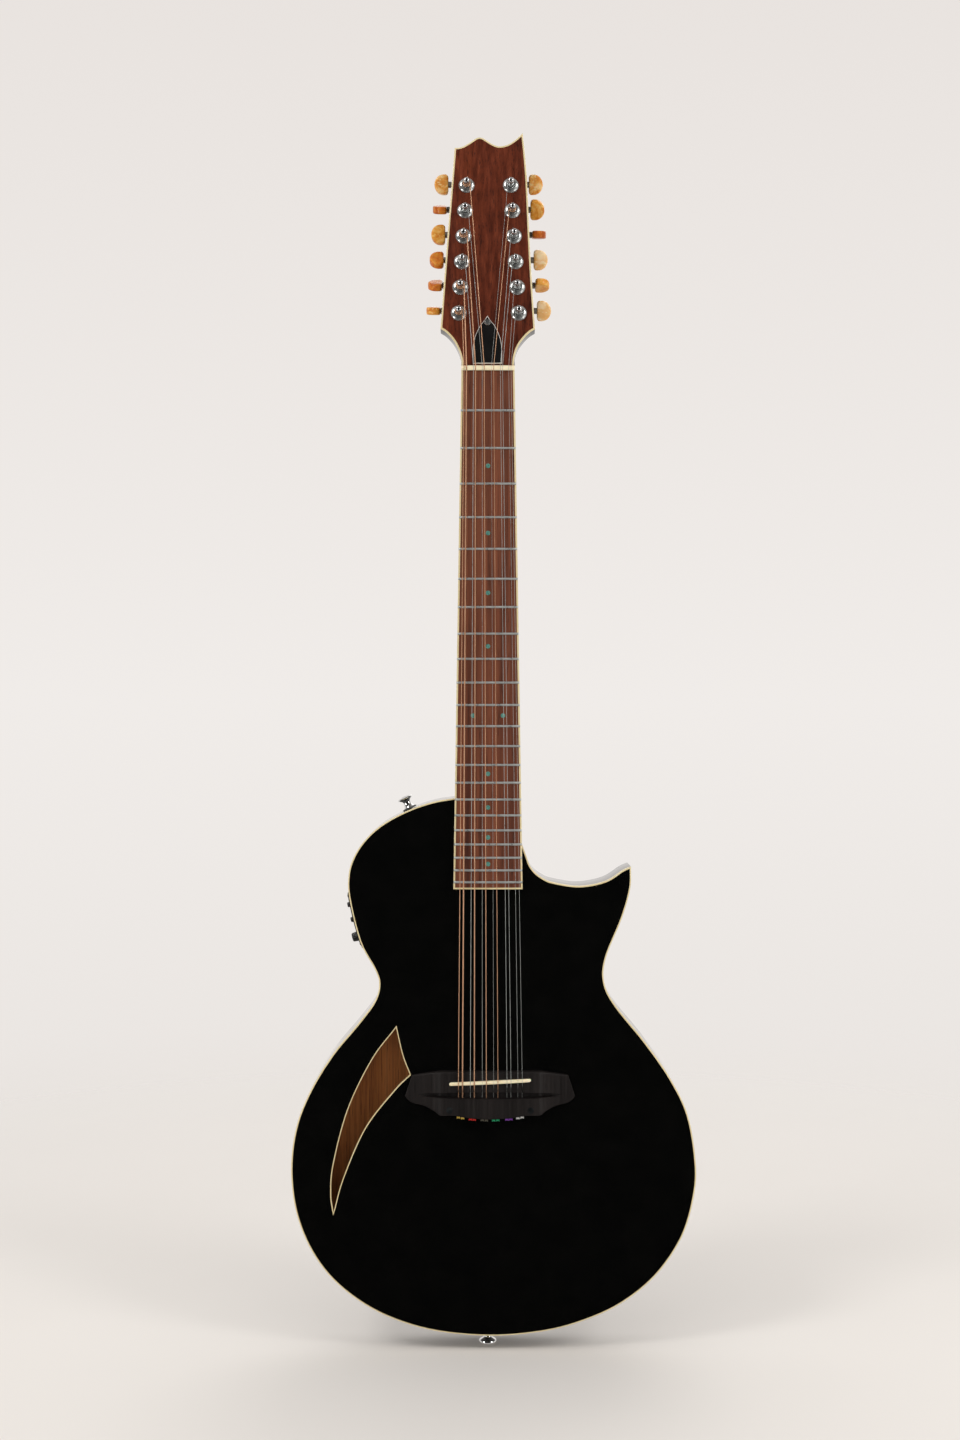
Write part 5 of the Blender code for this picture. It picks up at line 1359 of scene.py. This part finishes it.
def tuner_plate(side, label):
    """A chrome strip with a domed housing over each gear, and a small screw beside each one."""
    places = [post_place(index, side) for index in range(TUNERS_PER_SIDE)]
    shell, margin, up = 7.5, 8.5, 14
    (x0, v0), (x1, v1) = places[0], places[-1]
    low, high = v0 - margin, v1 + up + 2.8
    front = -HEAD_THICKNESS - 0.05
    rear = front - 1.5
    corners = [(x0 - margin, low), (x0 + margin, low), (x1 + margin, high), (x1 - margin, high)]
    shape = soft_slab(rounded_loop(corners, 2.5), front, rear, 0.4, 3)
    depth = -GEAR_DEPTH - WHEEL_THICKNESS - 1.5
    profile = [*round_edge(2.2, depth, 1, 6), (0, rear), (-0.5, rear + 0.3), (-0.5, rear + 0.6)]
    for x, v in places:
        left, right, bottom, top = x - shell, x + shell, v - shell, v + up
        housing = rounded_loop([(left, bottom), (right, bottom), (right, top), (left, top)], 3)
        shape.add(slab(housing, profile))
    head_piece(f"gear_cover_{label}", shape, CHROME, "chrome", f"tuner_plate_{label}")
    flip = Matrix.Rotation(pi, 4, "X")
    for k, (x, v) in enumerate(places):
        place = Matrix.Translation((x, v + up + 1.6, rear + 0.05)) @ flip
        head_piece(f"plate_screw_{label}_{k + 1}", screw_head(1.5, 0.7), CHROME, "chrome", place=place)


# Hardware on the sides

def facing(point, outward):
    """A frame at a point in the world, with its Z axis pointing outward."""
    return Matrix.Translation(point) @ Vector(outward).to_track_quat("Z", "Y").to_matrix().to_4x4()


def strap_button(name, node, place, height, radius):
    """A mushroom button on a felt washer, with its screw in the top."""
    stem = ((0.56, 0.25), (0.47, 0.42), (0.46, 0.58), (0.58, 0.7), (0.85, 0.79), (0.98, 0.84), (1, 0.88),
            (0.97, 0.93), (0.85, 0.975), (0.6, 1), (0.5, 1))
    shape = turned([
        (0, 1.2), (radius * 0.66, 1.2), (radius * 0.68, 1.7),
        *((radius * wide, height * up) for wide, up in stem),
        (radius * 0.47, height - 0.5), (radius * 0.46, height - 1.6), (0, height - 1.7),
    ], 48)
    piece(name, shape, CHROME, place, (node,))
    washer = ((0, 1.2), (0.85, 1.2), (0.92, 0.9), (0.93, 0.3), (0.88, 0.02), (0, 0.02))
    felt_ring = turned([(radius * wide, up) for wide, up in washer], 40)
    piece(name + "_washer", felt_ring, FELT, place)
    screw_place = place @ Matrix.Translation((0, 0, height - 1.66))
    piece(name + "_screw", screw_head(radius * 0.42, 1.5), CHROME, screw_place)


def strap_buttons():
    low, high = box("end_strap_button")
    place = facing((0, 0, BODY_LOW), (0, 0, -1))
    strap_button("end_button", "end_strap_button", place, BODY_LOW - low.z, high.y)
    place = facing(UPPER_BUTTON_TOP - UPPER_BUTTON_OUTWARD * UPPER_BUTTON_HEIGHT, UPPER_BUTTON_OUTWARD)
    radius = box("upper_strap_button")[1].y
    strap_button("upper_button", "upper_strap_button", place, UPPER_BUTTON_HEIGHT, radius)


def output_jack():
    """The jack on the treble side: a round plate, a hexagonal nut and the threaded barrel."""
    low, high = box("output_jack")
    place = facing((high.x - 2, 0, (low.z + high.z) / 2), (1, 0, 0))
    plate = turned([(5, 0.9), (8.3, 0.9), (8.8, 0.65), (9, 0.3), (9, -0.2), (5, -0.2), (5, 0.9)], 56)
    piece("jack_plate", plate, CHROME, place, ("output_jack",))
    barrel = [(0, -14), (3.3, -14), (3.3, 1.7), (3.6, 2), (4.5, 2)]
    for k in range(4):
        barrel += [(4.8, 1.85 - 0.25 * k), (4.55, 1.75 - 0.25 * k)]
    barrel += [(4.6, 0.4), (5.4, -0.3), (5.4, -22), (0, -22)]
    piece("jack_barrel", turned(barrel, 40), CHROME, place)
    hexagon = soft_slab(rounded_loop(circle(6.6, 6), 0.5, 2), 1.75, 0.85, 0.25, 2)
    piece("jack_nut", hexagon, CHROME, place)


def knob(name, radius, rise):
    """A fluted knob with a domed top and a pale pointer line, at the place of its joint."""
    joint = next(joint for joint in frame["joints"] if joint["name"] == name + "_turn")
    place = facing(Vector(joint["pos_m"]) / MM, joint["axis"])
    flutes = 18
    levels = (
        (0.15, 1.0, 0.0), (0.18, 1.0, 0.4), (0.35, 1.0, 1), (0.8, 0.93, 1), (0.92, 0.88, 0.7),
        (0.985, 0.78, 0.2), (1.0, 0.62, 0), (0.99, 0.3, 0), (0.985, 0.0, 0),
    )
    sides = flutes * 6
    rings = []
    for lift, wide, depth in levels:
        ring = []
        for k, (x, y) in enumerate(circle(radius * wide, sides)):
            groove = 0.055 * depth * (0.5 - 0.5 * cos(2 * pi * k * flutes / sides)) ** 2
            ring.append((x * (1 - groove), y * (1 - groove), rise * lift))
        rings.append(ring)
    shape = Shape()
    shape.add_face(shape.rings(rings)[0])
    shape.add(turned([(0, 0.2 * rise), (radius * 0.45, 0.2 * rise), (radius * 0.45, -1), (0, -1)], 24))
    piece(name + "_cap", shape, BLACK_PLASTIC, place, (name,), body=name, sharp=40)
    line = rounded_box((radius * 0.62, radius * 0.13, 0.24), radius * 0.05, 2)
    pointer = place @ Matrix.Translation((radius * 0.5, 0, rise * 0.985))
    piece(name + "_pointer", line, WHITE_PLASTIC, pointer, body=name)


def side_place(height, out, y):
    """A frame off the bass side of the body at a height, facing outward."""
    following = np.roll(OUTLINE, -1, 0)
    crosses = (OUTLINE[:, 1] - height) * (following[:, 1] - height) <= 0
    spots = [(a, b) for a, b, hit in zip(OUTLINE, following, crosses) if hit and a[0] < 0]
    a, b = min(spots, key=lambda pair: pair[0][0])
    along = Vector(b - a).normalized()
    outward = Vector((-along.y, 0, along.x))
    if outward.x > 0:
        outward.negate()
    share = (height - a[1]) / (b[1] - a[1])
    return facing(Vector((a[0] + share * (b[0] - a[0]), y, height)) + outward * out, outward)


def preamp():
    """Screws and marks on the control panel that the CAD node forms."""
    corners = [(rise, y) for rise in (-21.5, 22) for y in (-13, 13)]
    for k, (rise, y) in enumerate(corners):
        place = side_place(PANEL_MIDDLE + rise, 1.78, y)
        piece(f"panel_screw_{k + 1}", screw_head(1.4, 0.5), DARK_METAL, place)
    mark = rounded_box((1.6, 0.45, 0.25), 0.15, 2)
    for k in range(5):
        place = side_place(PANEL_MIDDLE - 8 + 4 * k, 1.8, 9.5) @ Matrix.Rotation(pi / 2, 4, "Z")
        piece(f"panel_mark_{k + 1}", mark, WHITE_PLASTIC, place)


def kept_nodes():
    """Finishes for the CAD nodes that stay as they are."""
    kept = (("truss_rod", STEEL), ("piezo_pickup", DARK_METAL), ("preamp_housing", BLACK_PLASTIC))
    for node, finish in kept:
        mesh = frame["nodes"][node].data
        mesh.materials.clear()
        mesh.materials.append(finish)


# Floor, light and camera

CAMERA_PLACE = (-0.00724, -1.635, 0.5912)
CAMERA_LENS = 44.22
CAMERA_SHIFT = -18 / 1440
FLOOR_COLOUR = (0.79, 0.755, 0.72)
# Backdrop colour by height, darker at its bottom and top: painted falloff of the studio light.
BACKDROP = ((0, (0.77, 0.73, 0.695)), (0.5, (0.872, 0.838, 0.812)), (1, (0.80, 0.755, 0.725)))
FLOOR_MIDDLE = 0.5
FLOOR_REACH = 1.9
FLOOR_SOLID = 0.35

# How bright the studio is to mirrors, by how far they look away from the camera's side
MIRRORED = ((-0.92, 0.003), (-0.84, 0.12), (-0.3, 0.24), (0.0, 0.5), (0.3, 1.0))
WORLD_STRENGTH = 0.74
LAMP_WARMTH = (1.0, 0.985, 0.965)

# Lamps: name, place, target, size and power
LAMPS = (
    ("key", (-1.7, -1.5, 2.5), (0, 0, 0.6), 0.9, 20),
    ("fill", (1.9, -1.4, 2.1), (0, 0, 0.6), 0.9, 15),
    ("low_left", (-1.6, -1.2, 0.25), (0, 0, 0.8), 0.45, 5),
    ("low_right", (1.6, -1.2, 0.25), (0, 0, 0.8), 0.45, 5),
    ("rear", (0.6, 1.9, 2.2), (0, 0, 0.6), 2.0, 12),
)


def floor():
    """A pale floor that fades into the backdrop around it."""
    shape = Shape()
    for radii in ((0.0, FLOOR_MIDDLE), (FLOOR_MIDDLE, FLOOR_REACH)):
        shape.rings(tapered(circle(1, 64), [(radius, 0) for radius in radii]))
    mesh = bpy.data.meshes.new("studio_floor")
    mesh.from_pydata([tuple(point) for point in shape.points], [], [face[0] for face in shape.faces])
    item = bpy.data.objects.new("studio_floor", mesh)
    bpy.context.scene.collection.objects.link(item)
    paint = Paint("studio_floor", FLOOR_COLOUR, 0.9)
    where = paint.place()
    colour = paint.ramp(paint.noise(where, 3, 2), (0.3, FLOOR_COLOUR), (0.7, scaled(FLOOR_COLOUR, 1.02)))
    distance = paint.node("VectorMath", {0: where}, operation="LENGTH").outputs["Value"]
    solid = paint.span(distance, FLOOR_SOLID, FLOOR_REACH * 0.9, 1.0, 0.0)
    unmirrored = paint.maths("SUBTRACT", 1.0, paint.node("LightPath").outputs["Is Glossy Ray"])
    paint.tree.links.new(colour, paint.inputs["Base Color"])
    paint.tree.links.new(paint.maths("MULTIPLY", solid, unmirrored), paint.inputs["Alpha"])
    mesh.materials.append(paint.material)


def world():
    """A pale studio for camera, glass and metal, dark behind the camera, with an even light for the rest."""
    made = bpy.data.worlds.new("studio")
    bpy.context.scene.world = made
    sky = Nodes(made)
    sky.tree.nodes.clear()
    parts = sky.node("SeparateXYZ", {0: sky.node("TexCoord").outputs["Generated"]}).outputs
    rise = {"Value": parts["Z"], "From Min": -0.45, "From Max": 0.45}
    height = sky.node("MapRange", rise).outputs["Result"]
    ahead = sky.node("MapRange", {"Value": parts["Y"], "From Min": -1.0, "From Max": 1.0}).outputs["Result"]
    # The backdrop colour is painted darker towards its bottom and top, as shade where the light falls off.
    backdrop = sky.ramp(height, *BACKDROP)
    depth = sky.ramp(ahead, *((0.5 + towards / 2, (strength,) * 3) for towards, strength in MIRRORED))
    seen = sky.node("Background", {"Color": backdrop, "Strength": 1.0})
    mirrored = sky.node("Background", {"Color": backdrop, "Strength": depth})
    even = sky.node("Background", {"Color": (1.0, 0.985, 0.97, 1), "Strength": WORLD_STRENGTH})
    path = sky.node("LightPath").outputs
    gloss = sky.node("Math", {0: path["Is Glossy Ray"], 1: path["Is Transmission Ray"]}, operation="MAXIMUM")
    first = sky.node("MixShader", {0: gloss.outputs[0], 1: even.outputs[0], 2: mirrored.outputs[0]})
    last = sky.node("MixShader", {0: path["Is Camera Ray"], 1: first.outputs[0], 2: seen.outputs[0]})
    sky.node("OutputWorld", {"Surface": last.outputs[0]})


def lights():
    for name, place, target, size, power in LAMPS:
        data = bpy.data.lights.new(name, "AREA")
        data.shape = "DISK"
        data.size = size
        data.energy = power
        data.color = LAMP_WARMTH
        lamp = bpy.data.objects.new(name, data)
        lamp.location = place
        lamp.rotation_euler = (Vector(target) - Vector(place)).to_track_quat("-Z", "Y").to_euler()
        bpy.context.scene.collection.objects.link(lamp)


def camera():
    data = bpy.data.cameras.new("camera")
    data.lens = CAMERA_LENS
    data.sensor_width = 36
    data.sensor_fit = "AUTO"
    data.shift_y = CAMERA_SHIFT
    item = bpy.data.objects.new("camera", data)
    item.location = CAMERA_PLACE
    item.rotation_euler = (pi / 2, 0, 0)
    bpy.context.scene.collection.objects.link(item)
    bpy.context.scene.camera = item


body()
fingerboard()
board_binding()
frets_and_dots()
nut()
bridge()
saddle()
strings()
neck()
headstock_face()
rod_cover()
tuners()
for side, label in SIDE_NAMES.items():
    tuner_plate(side, label)
strap_buttons()
output_jack()
for name, radius, rise in KNOBS:
    knob(name, radius, rise)
preamp()
kept_nodes()
floor()
world()
lights()
camera()
bpy.context.scene.view_settings.view_transform = "Standard"
